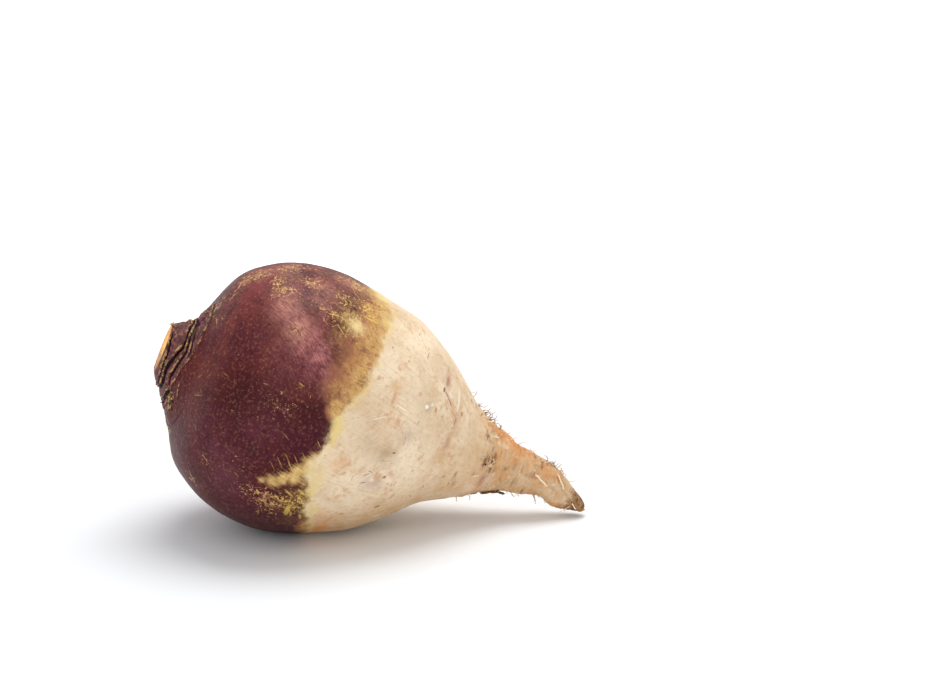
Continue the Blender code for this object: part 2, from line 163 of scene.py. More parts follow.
# Soft spots: path, angle, reach along (mm), reach round (degrees), strength
skinSpots = {
    "tongue": [
        (68.5, -117.5, 2.5, 3, 0.7), (72, -115.5, 3, 3.8, 0.9), (75.5, -112, 3.2, 4.8, 1),
        (79, -108.5, 3.5, 6.5, 1), (82.5, -104, 4, 8, 1), (76, 102, 5, 6, 1), (82, 106, 6, 8, 1),
    ],
    "worn": [
        (66, -127, 5, 8, 0.6), (73, -128, 6, 10, 0.8), (79, -127, 6, 9, 0.9), (84, -123, 6, 9, 1),
        (82, -138, 6, 9, 0.4), (92, -142, 4, 10, 0.35), (82, -38, 8, 9, 0.9), (72, -37, 6, 6, 0.7),
        (88, -27, 7, 9, 1), (76, -27, 6, 8, 0.7), (93, -18, 5, 8, 0.9), (82, -10, 12, 8, 0.9),
        (66, -30, 8, 8, 0.4), (49, -22, 4, 12, 0.75), (58, -6, 14, 8, 0.7), (36, -4, 12, 8, 0.6),
        (23, -34, 4, 12, 0.45), (22, -8, 6, 12, 0.7), (46, -151, 6, 5, 0.6), (45, -128, 4, 5, 0.5),
        (92, -56, 3, 8, 0.7), (63, -84, 7, 6, 0.4), (70, -75, 5, 5, 0.45), (56, -118, 8, 10, 0.25),
        (84, 22, 10, 16, 0.9), (66, 40, 9, 14, 0.5), (88, 62, 8, 16, 0.8), (80, 92, 9, 12, 0.8),
        (84, 128, 10, 14, 0.8), (64, 150, 9, 14, 0.4), (88, 168, 8, 16, 0.8), (45, 75, 12, 20, 0.3),
        (40, -9, 10, 9, 0.9), (54, -8, 9, 8, 0.9), (30, -16, 7, 10, 0.6), (64, -20, 8, 8, 0.8),
        (60, -50, 5, 6, 0.6), (52, -28, 7, 9, 0.8),
    ],
    "ochre": [
        (90, -62, 18, 13, 1), (90, -46, 20, 13, 1), (94, -28, 14, 12, 0.8), (96, -12, 12, 12, 0.8),
        (85, -76, 5, 6, 0.8), (97, -140, 5, 14, 0.7), (88, 30, 12, 20, 0.9), (95, 62, 12, 18, 0.9),
        (96, 140, 12, 20, 0.9), (96, 175, 6, 14, 0.7),
    ],
    # painted sheen: where a pale rosy highlight is painted on the purple
    "paintedSheen": [
        (64, -54, 13, 17, 0.35), (71, -58, 5, 9, 1), (65, -52, 6, 9, 1), (59, -45, 5, 8, 0.9),
        (53, -39, 5, 8, 0.7), (75, -64, 4, 6, 0.8), (50, 60, 10, 16, 0.7), (66, 140, 9, 14, 0.7),
    ],
    # lighter dusty skin with painted sheen in it
    "dustAndSheen": [
        (60.5, -49, 5, 7, 0.9), (55, -38, 6, 9, 0.7), (51, -27, 6, 9, 0.35), (53, -15, 6, 9, 0.5),
        (69, -24, 6, 7, 0.6), (80, -12, 12, 8, 0.7), (44, -10, 8, 8, 0.5), (66, -34, 5, 6, 0.5),
        (54, 66, 6, 8, 0.6), (60, 20, 12, 14, 0.5),
    ],
    "giltHaze": [
        (79, -36, 5, 5.5, 0.8), (90, -134, 5, 8, 0.25), (88, -28, 8, 7, 1), (84, -123, 7, 8, 0.3),
        (78, -48, 5, 7, 0.5), (90, -12, 7, 8, 0.7), (86, 16, 8, 12, 0.7), (80, 96, 8, 9, 0.7),
    ],
    "crimson": [
        (62, -22, 14, 12, 1), (76, -14, 10, 8, 0.9), (40, -18, 14, 18, 1), (52, -4, 22, 14, 1),
        (30, -40, 12, 18, 0.4), (60, 40, 16, 20, 0.8), (70, 165, 14, 14, 0.6),
    ],
    "grey": [
        (57, -128, 7, 8, 0.5), (38, -164, 10, 10, 0.35), (52, -22, 7, 12, 0.2), (44, 175, 16, 18, 0.9),
        (30, 110, 14, 24, 0.5),
    ],
    "russet": [
        (24, -82, 16, 34, 0.9), (36, -36, 22, 20, 0.9), (52, -70, 10, 12, 0.5), (50, -56, 9, 9, 0.8),
        (68, -75, 7, 9, 0.7), (40, 30, 26, 28, 0.8), (30, 120, 16, 30, 0.7), (78, 70, 12, 20, 0.6),
    ],
    "plumGround": [
        (45, -118, 16, 14, 0.9), (59, -130, 14, 12, 1), (38, -148, 14, 16, 0.4), (76, -142, 12, 10, 0.4),
        (60, -98, 10, 12, 0.7), (66, -62, 8, 8, 0.5), (40, 150, 20, 24, 0.8), (60, 90, 16, 20, 0.7),
    ],
    "dusk": [
        (50, -97, 20, 20, 1), (66, -86, 14, 14, 0.9), (74, -150, 12, 18, 0.8), (56, 100, 16, 20, 0.8),
        (72, 165, 12, 18, 0.8),
    ],
    "yellow": [
        (93, -126.5, 2.6, 3.6, 1), (88, -110, 3, 8, 0.7), (87.3, -84, 2.4, 5, 0.9),
        (87.5, -91, 1.5, 3, 0.5), (94, -8, 3.4, 6, 1), (92, 0, 4, 9, 0.9), (95.5, -28, 2, 7, 0.6),
        (89, 30, 3, 8, 0.8), (94, 84, 3, 9, 0.9), (90, 108, 3, 8, 0.9), (98, 150, 3, 9, 0.8),
    ],
    "paleSpot": [(83, -38.9, 3.4, 3.6, 1), (80, 118, 3, 4, 0.6)],
    "orange": [
        (101.5, -146, 4.5, 13, 1), (98, -131, 4, 6, 0.6), (93.5, -99, 3, 4, 0.4), (107, -66, 1.8, 14, 0.3),
        (168, -22, 5, 12, 0.9), (176, -16, 8, 17, 1), (173, -42, 3, 12, 0.4), (186, -22, 10, 24, 0.9),
        (199, -45, 6, 18, 0.5), (103, 176, 6, 16, 0.8), (120, 60, 8, 14, 0.4), (172, 60, 10, 26, 0.6),
    ],
    "lavender": [
        (112, -107, 6, 6, 0.8), (118, -80, 5, 5, 0.6), (101, -84, 4, 10, 0.3), (124, -62, 2.5, 3, 0.9),
        (110, -100, 6, 8, 0.4), (118, 30, 8, 12, 0.6), (112, 110, 8, 10, 0.7), (126, 160, 7, 12, 0.6),
    ],
    "lightCream": [
        (106, -106, 20, 20, 0.8), (124, -100, 22, 22, 0.7), (98, -124, 8, 10, 0.6), (125, 60, 18, 30, 0.5),
    ],
    "smudge": [(111, -90, 6, 6, 0.9), (104, -88, 4, 6, 0.5), (116, -95, 4, 5, 0.5), (120, 100, 6, 8, 0.7)],
    "tan": [
        (176, -14, 9, 16, 0.9), (165, -26, 6, 12, 0.8), (171, -78, 5, 14, 0.5), (126, -140, 22, 16, 0.8),
        (143, -85, 8, 34, 0.6), (154, -115, 10, 30, 0.5), (120, -122, 6, 8, 0.4), (192, -40, 12, 26, 0.2),
        (188, -140, 5, 26, 0.7), (212, -80, 7, 60, 0.7), (140, 40, 12, 40, 0.5), (130, 130, 20, 30, 0.6),
        (200, 120, 16, 60, 0.7),
    ],
    "stain": [
        (171.3, -112, 2.4, 13, 1), (132.7, -38, 1.8, 6, 0.8), (142.6, -80.6, 2, 6, 0.6),
        (143.5, -63, 1.5, 6, 0.5), (188.4, -114, 1.4, 10, 0.5), (194, -82, 1.2, 9, 0.6),
        (170, 90, 2, 16, 0.8), (134, 80, 1.6, 8, 0.5),
    ],
}


def smoothCurve(points, perSpan):
    given = np.array(points, float)
    held = np.vstack([2 * given[0] - given[1], given, 2 * given[-1] - given[-2]])
    found = []
    for a, b, c, d in zip(held, held[1:], held[2:], held[3:]):
        for t in np.arange(perSpan) / perSpan:
            bend = 2 * a - 5 * b + 4 * c - d
            twist = 3 * b - a - 3 * c + d
            found.append(b + 0.5 * ((c - a) * t + bend * t**2 + twist * t**3))
    return np.vstack([found, given[-1]])


def smoothTable(table, at):
    line = smoothCurve(table, 12)
    return np.interp(at, line[:, 0], line[:, 1])


def sideOutline():
    rows = [(0.0, root["neckRadius"] / root["bulbRadius"])] + root["outline"] + [(1.0, 0.0)]
    return np.maximum(smoothCurve(rows, 16) * (root["length"], root["bulbRadius"]), 0.0)


def pathDown(line):
    steps = np.linalg.norm(np.diff(line, axis=0), axis=1)
    return np.concatenate([[0.0], np.cumsum(steps)])


def ringPaths():
    line = sideOutline()
    path = pathDown(line)
    rings = [0.0]
    while rings[-1] < path[-1]:
        share = np.interp(rings[-1], path, line[:, 0]) / root["length"]
        rings.append(rings[-1] + np.interp(share, *zip(*root["ringGaps"])))
    rings = np.array(rings) * path[-1] / rings[-1]
    cut = -root["neckRadius"] * (1 - np.linspace(0, 1, root["cutRings"], endpoint=False) ** 0.8)
    return np.concatenate([cut, rings])


def waves(table, share, angle):
    return sum(height * np.cos(turns * angle + along * share + phase) for turns, along, phase, height in table)


def turnedBy(angle, centre):
    return (angle - centre + math.pi) % (2 * math.pi) - math.pi


def grain(places, size, layers=3, shift=0.0):
    # fractal noise about 0 at each place, with lumps of about the given size
    move = Vector((shift, shift * 0.7, -shift))
    return np.array([noise.fractal(Vector(p) + move, 1.0, 2.0, layers) for p in places / size])


def lumps(places, size, shift=0.0):
    # rounded cells: 1 in the middle of each and 0 between them
    move = Vector((shift, -shift, shift * 0.3))
    nearest = np.array([noise.voronoi(Vector(p) + move)[0][0] for p in places / size])
    return np.clip(1 - nearest * 1.25, 0, 1)


def spotMask(table, path, angle):
    # soft spots on the skin: path (mm), angle, reach along (mm), reach round (degrees), strength
    mask = np.zeros_like(path)
    for at, centre, along, around, strength in table:
        far = ((path * 1000 - at) / along) ** 2
        far += (turnedBy(angle, math.radians(centre)) / math.radians(around)) ** 2
        mask = np.maximum(mask, strength * np.exp(-far))
    return mask


def leafFields(path, angle):
    # heights and depths in metres, how near the closest rim is (mm), and how far inside the crown (mm)
    degrees, down = np.degrees(angle), path * 1000
    heights = np.zeros_like(path)
    depths = np.zeros_like(path)
    rimNear = np.full_like(path, 9.0)
    for line, rimHeight, depth, width in crown["leafRims"] + [crown["outerRim"]]:
        first, last = line[0][0], line[-1][0]
        ends = np.clip((degrees - first) / crown["rimEnds"], 0, 1)
        ends *= np.clip((last - degrees) / crown["rimEnds"], 0, 1)
        if last - first >= 360:
            ends = np.ones_like(path)
        beyond = down - smoothTable(line, degrees)
        slopeUp = np.exp(np.minimum(beyond, 0) / crown["rimRun"])
        drop = np.exp(-((np.maximum(beyond, 0) / crown["rimDrop"]) ** 2))
        heights = np.maximum(heights, rimHeight * ends * slopeUp * drop)
        hollow = np.exp(-(((beyond - crown["furrowStart"] - width / 2) / (width / 2)) ** 2))
        depths = np.maximum(depths, depth * ends * hollow)
        rimNear = np.minimum(rimNear, np.abs(beyond + crown["rimLine"]) + (1 - ends) * 2)
    inside = smoothTable(crown["outerRim"][0], degrees) - down
    return heights / 1000, depths / 1000, rimNear, inside


def pitField(share, angle):
    # small scars that broken rootlets left, thicker on the ground in the two rows
    draw = random.Random(taproot["pitSeed"])
    radius = np.interp(share * root["length"], *sideOutline().T)
    mask = np.zeros_like(share)
    for _ in range(taproot["pits"]):
        at = draw.uniform(*taproot["pitShares"])
        inRow = draw.random() < taproot["pitsInRows"]
        row = draw.choice(taproot["rows"]) if inRow else draw.uniform(-180, 180)
        centre = math.radians(row + draw.uniform(-taproot["rowSpread"], taproot["rowSpread"]))
        wide, tall = draw.uniform(*taproot["pitWidth"]), draw.uniform(*taproot["pitHeight"])
        depth = draw.uniform(0.4, 1.0)
        far = ((share - at) * root["length"] / tall) ** 2 + (turnedBy(angle, centre) * radius / wide) ** 2
        mask = np.maximum(mask, depth * np.exp(-far))
    return mask


def rootFields():
    # every value of the skin at each point of the grid, and the points themselves
    line = sideOutline()
    linePath = pathDown(line)
    paths = ringPaths()[1:-1]
    angles = np.linspace(-math.pi, math.pi, root["around"], endpoint=False)
    path, angle = [a.ravel() for a in np.meshgrid(paths, angles, indexing="ij")]
    onCut = path < 0
    down = np.where(onCut, 0.0, np.interp(path, linePath, line[:, 0]))
    radius = np.where(onCut, root["neckRadius"] + path, np.interp(path, linePath, line[:, 1]))
    slope = np.gradient(line, linePath, axis=0)
    normalOut = np.where(onCut, 0.0, np.interp(path, linePath, slope[:, 0]))
    normalUp = np.where(onCut, 1.0, np.interp(path, linePath, slope[:, 1]))
    share = down / root["length"]
    grown = np.stack([radius * np.cos(angle), radius * np.sin(angle), root["length"] - down], axis=1)

    wander = (grain(grown, 0.006, 2) + grain(grown, 0.0018, 2, 5.0) * 0.5) * crown["wander"] / 1000
    leafHeights, leafDepths, rimNear, inside = leafFields(path + wander, angle)
    crownSide = np.where(onCut, 0.0, np.clip(path / crown["edgeFade"], 0, 1))
    cork = spotMask(crown["corkSpots"], path, angle) * crownSide
    hollow = spotMask(crown["hollows"], path, angle)
    lobe = spotMask(crown["lobes"], path, angle)
    granules = lumps(grown, crown["corkSize"])
    coarse = grain(grown, 0.0035, 3, 9.0)
    fine = grain(grown, 0.0011, 2, 17.0)
    relief = leafHeights * (1 + 0.6 * coarse + 0.3 * fine) - leafDepths * (1 + 0.4 * coarse)
    relief += crown["lobeHeight"] * lobe - crown["hollowDepth"] * hollow
    relief += crown["corkHeight"] * cork * (granules * 1.5 - 0.3 + coarse * 0.5)
    inCrown = np.clip(inside / 0.5, 0, 1)
    relief += inCrown * (crown["grain"][0] * fine + crown["grain"][1] * coarse)
    relief *= crownSide

    at, width, height = taproot["collar"]
    relief += height * np.exp(-(((share - at) / width) ** 2))
    tail = np.clip((share - taproot["knotsStart"]) / taproot["knotsRise"], 0, 1)
    relief += waves(taproot["knots"], share, angle) * tail
    ringed = np.stack([np.cos(angle) * 0.9, np.sin(angle) * 0.9, path / taproot["wrinkleGap"]], axis=1)
    wrinkles = grain(ringed, 1.0, 2, 3.0)
    wrinkled = np.clip((share - taproot["wrinklesStart"]) / taproot["wrinklesRise"], 0, 1)
    relief += taproot["wrinkleHeight"] * wrinkles * wrinkled
    scales = spotMask(taproot["scaleSpots"], path, angle)
    relief += taproot["scaleHeight"] * scales * (granules - 0.4 + coarse)
    pits = pitField(share, angle)
    relief -= taproot["pitDepth"] * pits
    dish = root["cutDish"] * (1 - (radius / root["neckRadius"]) ** 2)
    lowGrain, fineGrain = root["skinGrain"]
    skinGrain = lowGrain * grain(grown, 0.014, 3, 2.0) + fineGrain * coarse
    relief += np.where(onCut, root["cutGrain"] * fine - dish, skinGrain)

    neckSize, neckFade = root["neckOval"]
    swelling = waves(root["swellings"], share, angle) * np.clip(share / root["neckEnd"], 0, 1)
    swelling += neckSize * np.cos(2 * angle + 1) * np.exp(-share / neckFade)
    grownOut = radius * (1 + swelling) + normalOut * relief
    places = np.stack([grownOut * np.cos(angle), grownOut * np.sin(angle)], axis=1)
    places = np.column_stack([places, root["length"] - down + normalUp * relief])
    places[:, 0] += smoothTable(root["bend"], share) * root["bulbRadius"]
    places[:, 1] += smoothTable(root["sideBend"], share) * root["bulbRadius"]
    lift = crown["cutLift"] - crown["cutTilt"] * np.sin(angle) * radius / root["neckRadius"]
    places[:, 2] += lift * np.exp(-((np.maximum(path, 0) / crown["cutLiftFade"]) ** 2))

    edgePath = smoothTable(skinMarks["purpleEdge"], np.degrees(angle)) / 1000
    fields = {
        "purpleSide": (edgePath - path) * 100,
        "leafSide": inside / 10,
        # how deep the furrows and hollows are, where their painted shade goes
        "furrowShade": np.clip(leafDepths * 1000 + 1.2 * hollow, 0, 2) * crownSide,
        "hollow": hollow,
        "lobe": lobe,
        "rimNear": rimNear,
        "cork": cork,
        "granule": granules,
        "onCut": onCut * 1.0,
        "cutRadius": np.where(onCut, radius / root["neckRadius"], 1.0),
        "scaly": scales,
        "pit": pits,
        "share": share,
    }
    for name, spots in skinSpots.items():
        fields[name] = spotMask(spots, path, angle)
    vectors = {"grown": grown * 100}
    for name, turn in skinMarks["ways"].items():
        turned = angle + turn * path / root["bulbRadius"]
        vectors[name] = np.stack([np.cos(turned), np.sin(turned), path / root["bulbRadius"]], axis=1)
    return places, fields, vectors, paths


def layDown(places):
    # turns upright places over and sets them on the floor where the solid root lies
    turn = math.radians(root["lyingAngle"] - 90)
    x = places[:, 0] * math.cos(turn) + places[:, 2] * math.sin(turn)
    z = -places[:, 0] * math.sin(turn) + places[:, 2] * math.cos(turn)
    laid = np.stack([x, places[:, 1], z], axis=1)
    low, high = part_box("turnip")
    laid += [
        (low.x + high.x - laid[:, 0].min() - laid[:, 0].max()) / 2,
        (low.y + high.y - laid[:, 1].min() - laid[:, 1].max()) / 2,
        -laid[:, 2].min() - root["spotDepth"],
    ]
    laid[:, 2] = np.maximum(laid[:, 2], 0.0)
    return laid


def standPiece(name, mesh):
    mesh.shade_smooth()
    piece = bpy.data.objects.new(name, mesh)
    bpy.context.scene.collection.objects.link(piece)
    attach(piece, "root")
    return piece


def makeRoot():
    places, fields, vectors, ringPath = rootFields()
    around, ringCount = root["around"], len(ringPath)
    laid = layDown(places)
    grid = laid.reshape(ringCount, around, 3)
    crownPole, tipPole = grid[0].mean(0), grid[-1].mean(0)
    tipPole = tipPole + (tipPole - grid[-2].mean(0)) * 0.4
    index = np.arange(ringCount * around).reshape(ringCount, around)
    nextAround = np.roll(index, -1, axis=1)
    quads = np.stack([index[:-1], index[1:], nextAround[1:], nextAround[:-1]], axis=-1).reshape(-1, 4)
    crownIndex, tipIndex = ringCount * around, ringCount * around + 1
    faces = [tuple(q) for q in quads.tolist()]
    faces += [(crownIndex, a, b) for a, b in zip(index[0].tolist(), nextAround[0].tolist())]
    faces += [(tipIndex, b, a) for a, b in zip(index[-1].tolist(), nextAround[-1].tolist())]
    mesh = bpy.data.meshes.new("rootSkin")
    mesh.from_pydata(np.vstack([laid, crownPole, tipPole]).tolist(), [], faces)
    for name, values in {**fields, **vectors}.items():
        kind, part = ("FLOAT", "value") if values.ndim == 1 else ("FLOAT_VECTOR", "vector")
        layer = mesh.attributes.new(name, kind, "POINT")
        layer.data.foreach_set(part, np.concatenate([values, values[:1], values[-1:]]).ravel())
    unwrap(mesh, ringPath, around)
    return standPiece("rootSkin", mesh), SkinGrid(grid, ringPath)


class SkinGrid:
    # finds places on the finished skin, for what grows on it
    def __init__(self, grid, ringPath):
        self.grid = grid
        self.ringPath = ringPath

    def at(self, path, angle):
        # path in mm and angle in degrees give the place, the way out of the skin and the way to the tip
        around = self.grid.shape[1]
        ring = int(np.clip(np.searchsorted(self.ringPath, path / 1000), 1, len(self.ringPath) - 2))
        column = int(round((angle + 180) / 360 * around)) % around
        tipward = Vector(self.grid[ring + 1, column] - self.grid[ring - 1, column]).normalized()
        roundward = Vector(self.grid[ring, (column + 1) % around] - self.grid[ring, column - 1]).normalized()
        return Vector(self.grid[ring, column]), tipward.cross(roundward).normalized(), tipward


def unwrap(mesh, ringPath, around):
    # across the picture is round the root, up it is along the root; faces come as makeRoot lists them
    tall = (ringPath - ringPath[0]) / (ringPath[-1] - ringPath[0]) * 0.96 + 0.02
    left = np.arange(around)
    ends = np.ones(around)
    across = np.tile(np.stack([left, left, left + 1, left + 1], axis=1).ravel(), len(tall) - 1)
    up = np.repeat(np.stack([tall[:-1], tall[1:], tall[1:], tall[:-1]], axis=1), around, axis=0).ravel()
    crownAcross = np.stack([left + 0.5, left, left + 1], axis=1).ravel()
    crownUp = np.stack([ends * 0, ends * tall[0], ends * tall[0]], axis=1).ravel()
    tipAcross = np.stack([left + 0.5, left + 1, left], axis=1).ravel()
    tipUp = np.stack([ends, ends * tall[-1], ends * tall[-1]], axis=1).ravel()
    across = np.concatenate([across, crownAcross, tipAcross]) / around
    up = np.concatenate([up, crownUp, tipUp])
    mesh.uv_layers.new(name="OFBake").data.foreach_set("uv", np.stack([across, up], axis=1).ravel())


def tone(red, green, blue):
    # a colour as given for a screen, 0 to 255, made linear
    values = [c / 255 for c in (red, green, blue)]
    return tuple(c / 12.92 if c <= 0.04045 else ((c + 0.055) / 1.055) ** 2.4 for c in values) + (1.0,)


class Finish:
    # a material, with short ways to add the nodes that these finishes use
    def __init__(self, name, roughness=0.5):
        self.material = bpy.data.materials.new(name)
        self.material.use_nodes = True
        self.tree = self.material.node_tree
        self.shader = self.tree.nodes["Principled BSDF"]
        self.set("Roughness", roughness)

    def add(self, kind, inputs=None, **settings):
        made = self.tree.nodes.new(kind)
        for name, value in settings.items():
            setattr(made, name, value)
        for name, value in (inputs or {}).items():
            if isinstance(value, bpy.types.NodeSocket):
                self.tree.links.new(value, made.inputs[name])
            elif value is not None:
                made.inputs[name].default_value = value
        return made

    def field(self, name, part="Fac"):
        return self.add("ShaderNodeAttribute", attribute_name=name).outputs[part]

    def maths(self, operation, first, second=0.0, third=0.0):
        return self.add("ShaderNodeMath", {0: first, 1: second, 2: third}, operation=operation).outputs[0]

    def times(self, made, *others):
        for value in others:
            made = self.maths("MULTIPLY", made, value)
        return made

    def plus(self, first, second, share=1.0):
        return self.maths("MULTIPLY_ADD", second, share, first)

    def less(self, value):
        return self.maths("SUBTRACT", 1.0, value)

    def between(self, value, low, high):
        # 0 at low, 1 at high, and smooth from one to the other
        inputs = {"Value": value, "From Min": low, "From Max": high}
        return self.add("ShaderNodeMapRange", inputs, interpolation_type="SMOOTHSTEP").outputs[0]

    def blend(self, share, under, over):
        # tones may be given by name
        under, over = [skinTones[c] if isinstance(c, str) else c for c in (under, over)]
        return self.add("ShaderNodeMix", {0: share, 6: under, 7: over}, data_type="RGBA").outputs[2]

    def lay(self, under, over, *shares):
        return self.blend(self.times(*shares), under, over)

    def place(self, name="grown", stretch=(1, 1, 1)):
        # a vector laid on the skin
        return self.add("ShaderNodeMapping", {"Vector": self.field(name, "Vector"), "Scale": stretch}).outputs[0]

    def noise(self, vector, size=1.0, detail=3.0, rough=0.55, twist=0.0):
        inputs = {"Vector": vector, "Scale": 1 / size, "Detail": detail, "Roughness": rough, "Distortion": twist}
        return self.add("ShaderNodeTexNoise", inputs).outputs["Fac"]

    def mottle(self, size, detail=3.0, rough=0.55):
        # clouds on the skin of about this size in cm
        return self.noise(self.place(), size, detail, rough)

    def wobble(self, size, detail=3.0, rough=0.55):
        return self.maths("SUBTRACT", self.mottle(size, detail, rough), 0.5)

    def patches(self, size, low, high, detail=3.0, rough=0.55):
        return self.between(self.mottle(size, detail, rough), low, high)

    def threads(self, length, width, way):
        # noise drawn out into strokes, length and width in cm where the bulb is widest
        across, along = root["bulbRadius"] * 100 / width, root["bulbRadius"] * 100 / length
        return self.noise(self.place(way, (across, across, along)), 1.0, 2, 0.57)

    def wash(self, colour, name, share=None):
        # lays the tones of one list over the colour, each in its own field and patches
        for over, field, patch, strength in skinWashes[name]:
            masks = [] if share is None else [share]
            if field:
                masks.append(self.field(field))
            if patch:
                masks.append(self.patches(*patch))
            if strength < 1:
                masks.append(strength)
            colour = self.lay(colour, over, *masks)
        return colour

    def set(self, name, value):
        if isinstance(value, bpy.types.NodeSocket):
            self.tree.links.new(value, self.shader.inputs[name])
        else:
            self.shader.inputs[name].default_value = value

    def bump(self, *layers):
        # each layer is a height and how deep it is, in metres
        normal = None
        for height, depth in layers:
            inputs = {"Height": height, "Distance": depth, "Strength": 1.0, "Normal": normal}
            normal = self.add("ShaderNodeBump", inputs).outputs[0]
        self.set("Normal", normal)


skinTones = {
    "maroon": (61, 11, 19), "wine": (79, 19, 26), "plum": (74, 20, 36), "plumLight": (96, 42, 56),
    "night": (50, 8, 16), "russet": (106, 46, 42), "crimson": (128, 54, 58), "magentaSkin": (142, 70, 80),
    # the first tone on the next line is the pale rosy colour of a painted sheen
    # the third tone on the next line is lighter dusty skin with painted sheen in it
    "paintedSheen": (196, 130, 126), "greyMauve": (112, 82, 82), "dustAndSheen": (196, 140, 118), "olive": (150, 98, 72),
    "ochre": (188, 138, 86), "ochreLight": (220, 180, 112), "fleck": (210, 152, 116), "gold": (222, 184, 98),
    "paleGold": (230, 204, 136), "paleSpot": (230, 206, 146), "cream": (222, 197, 164), "pale": (238, 218, 188),
    "lightCream": (244, 226, 198), "beige": (212, 176, 134), "tan": (192, 148, 98), "orange": (222, 146, 74),
    "lavender": (192, 168, 152), "smudge": (186, 156, 122), "stain": (172, 118, 98), "dark": (104, 70, 50),
    # the second tone on the next line is for rust, and also for painted shadow beside the pale stubs
    "scratch": (244, 234, 216), "rustAndStubShadow": (184, 118, 80), "leafBase": (112, 60, 74), "leafBrown": (84, 50, 44),
    # the second and third tones on the next line are painted shade: near-black for the furrows, dark magenta for
    # the hollows
    "lobe": (112, 78, 72), "furrowShade": (32, 11, 18), "hollowShade": (96, 14, 56), "rim": (196, 154, 100),
    "cork": (196, 154, 92), "corkDark": (50, 32, 24), "cutMiddle": (252, 202, 98), "cutRing": (240, 150, 48),
    "cutEdge": (188, 106, 44), "cutLow": (150, 96, 66), "tailBrown": (152, 108, 66), "tailDark": (70, 48, 36),
}
skinTones = {name: tone(*values) for name, values in skinTones.items()}

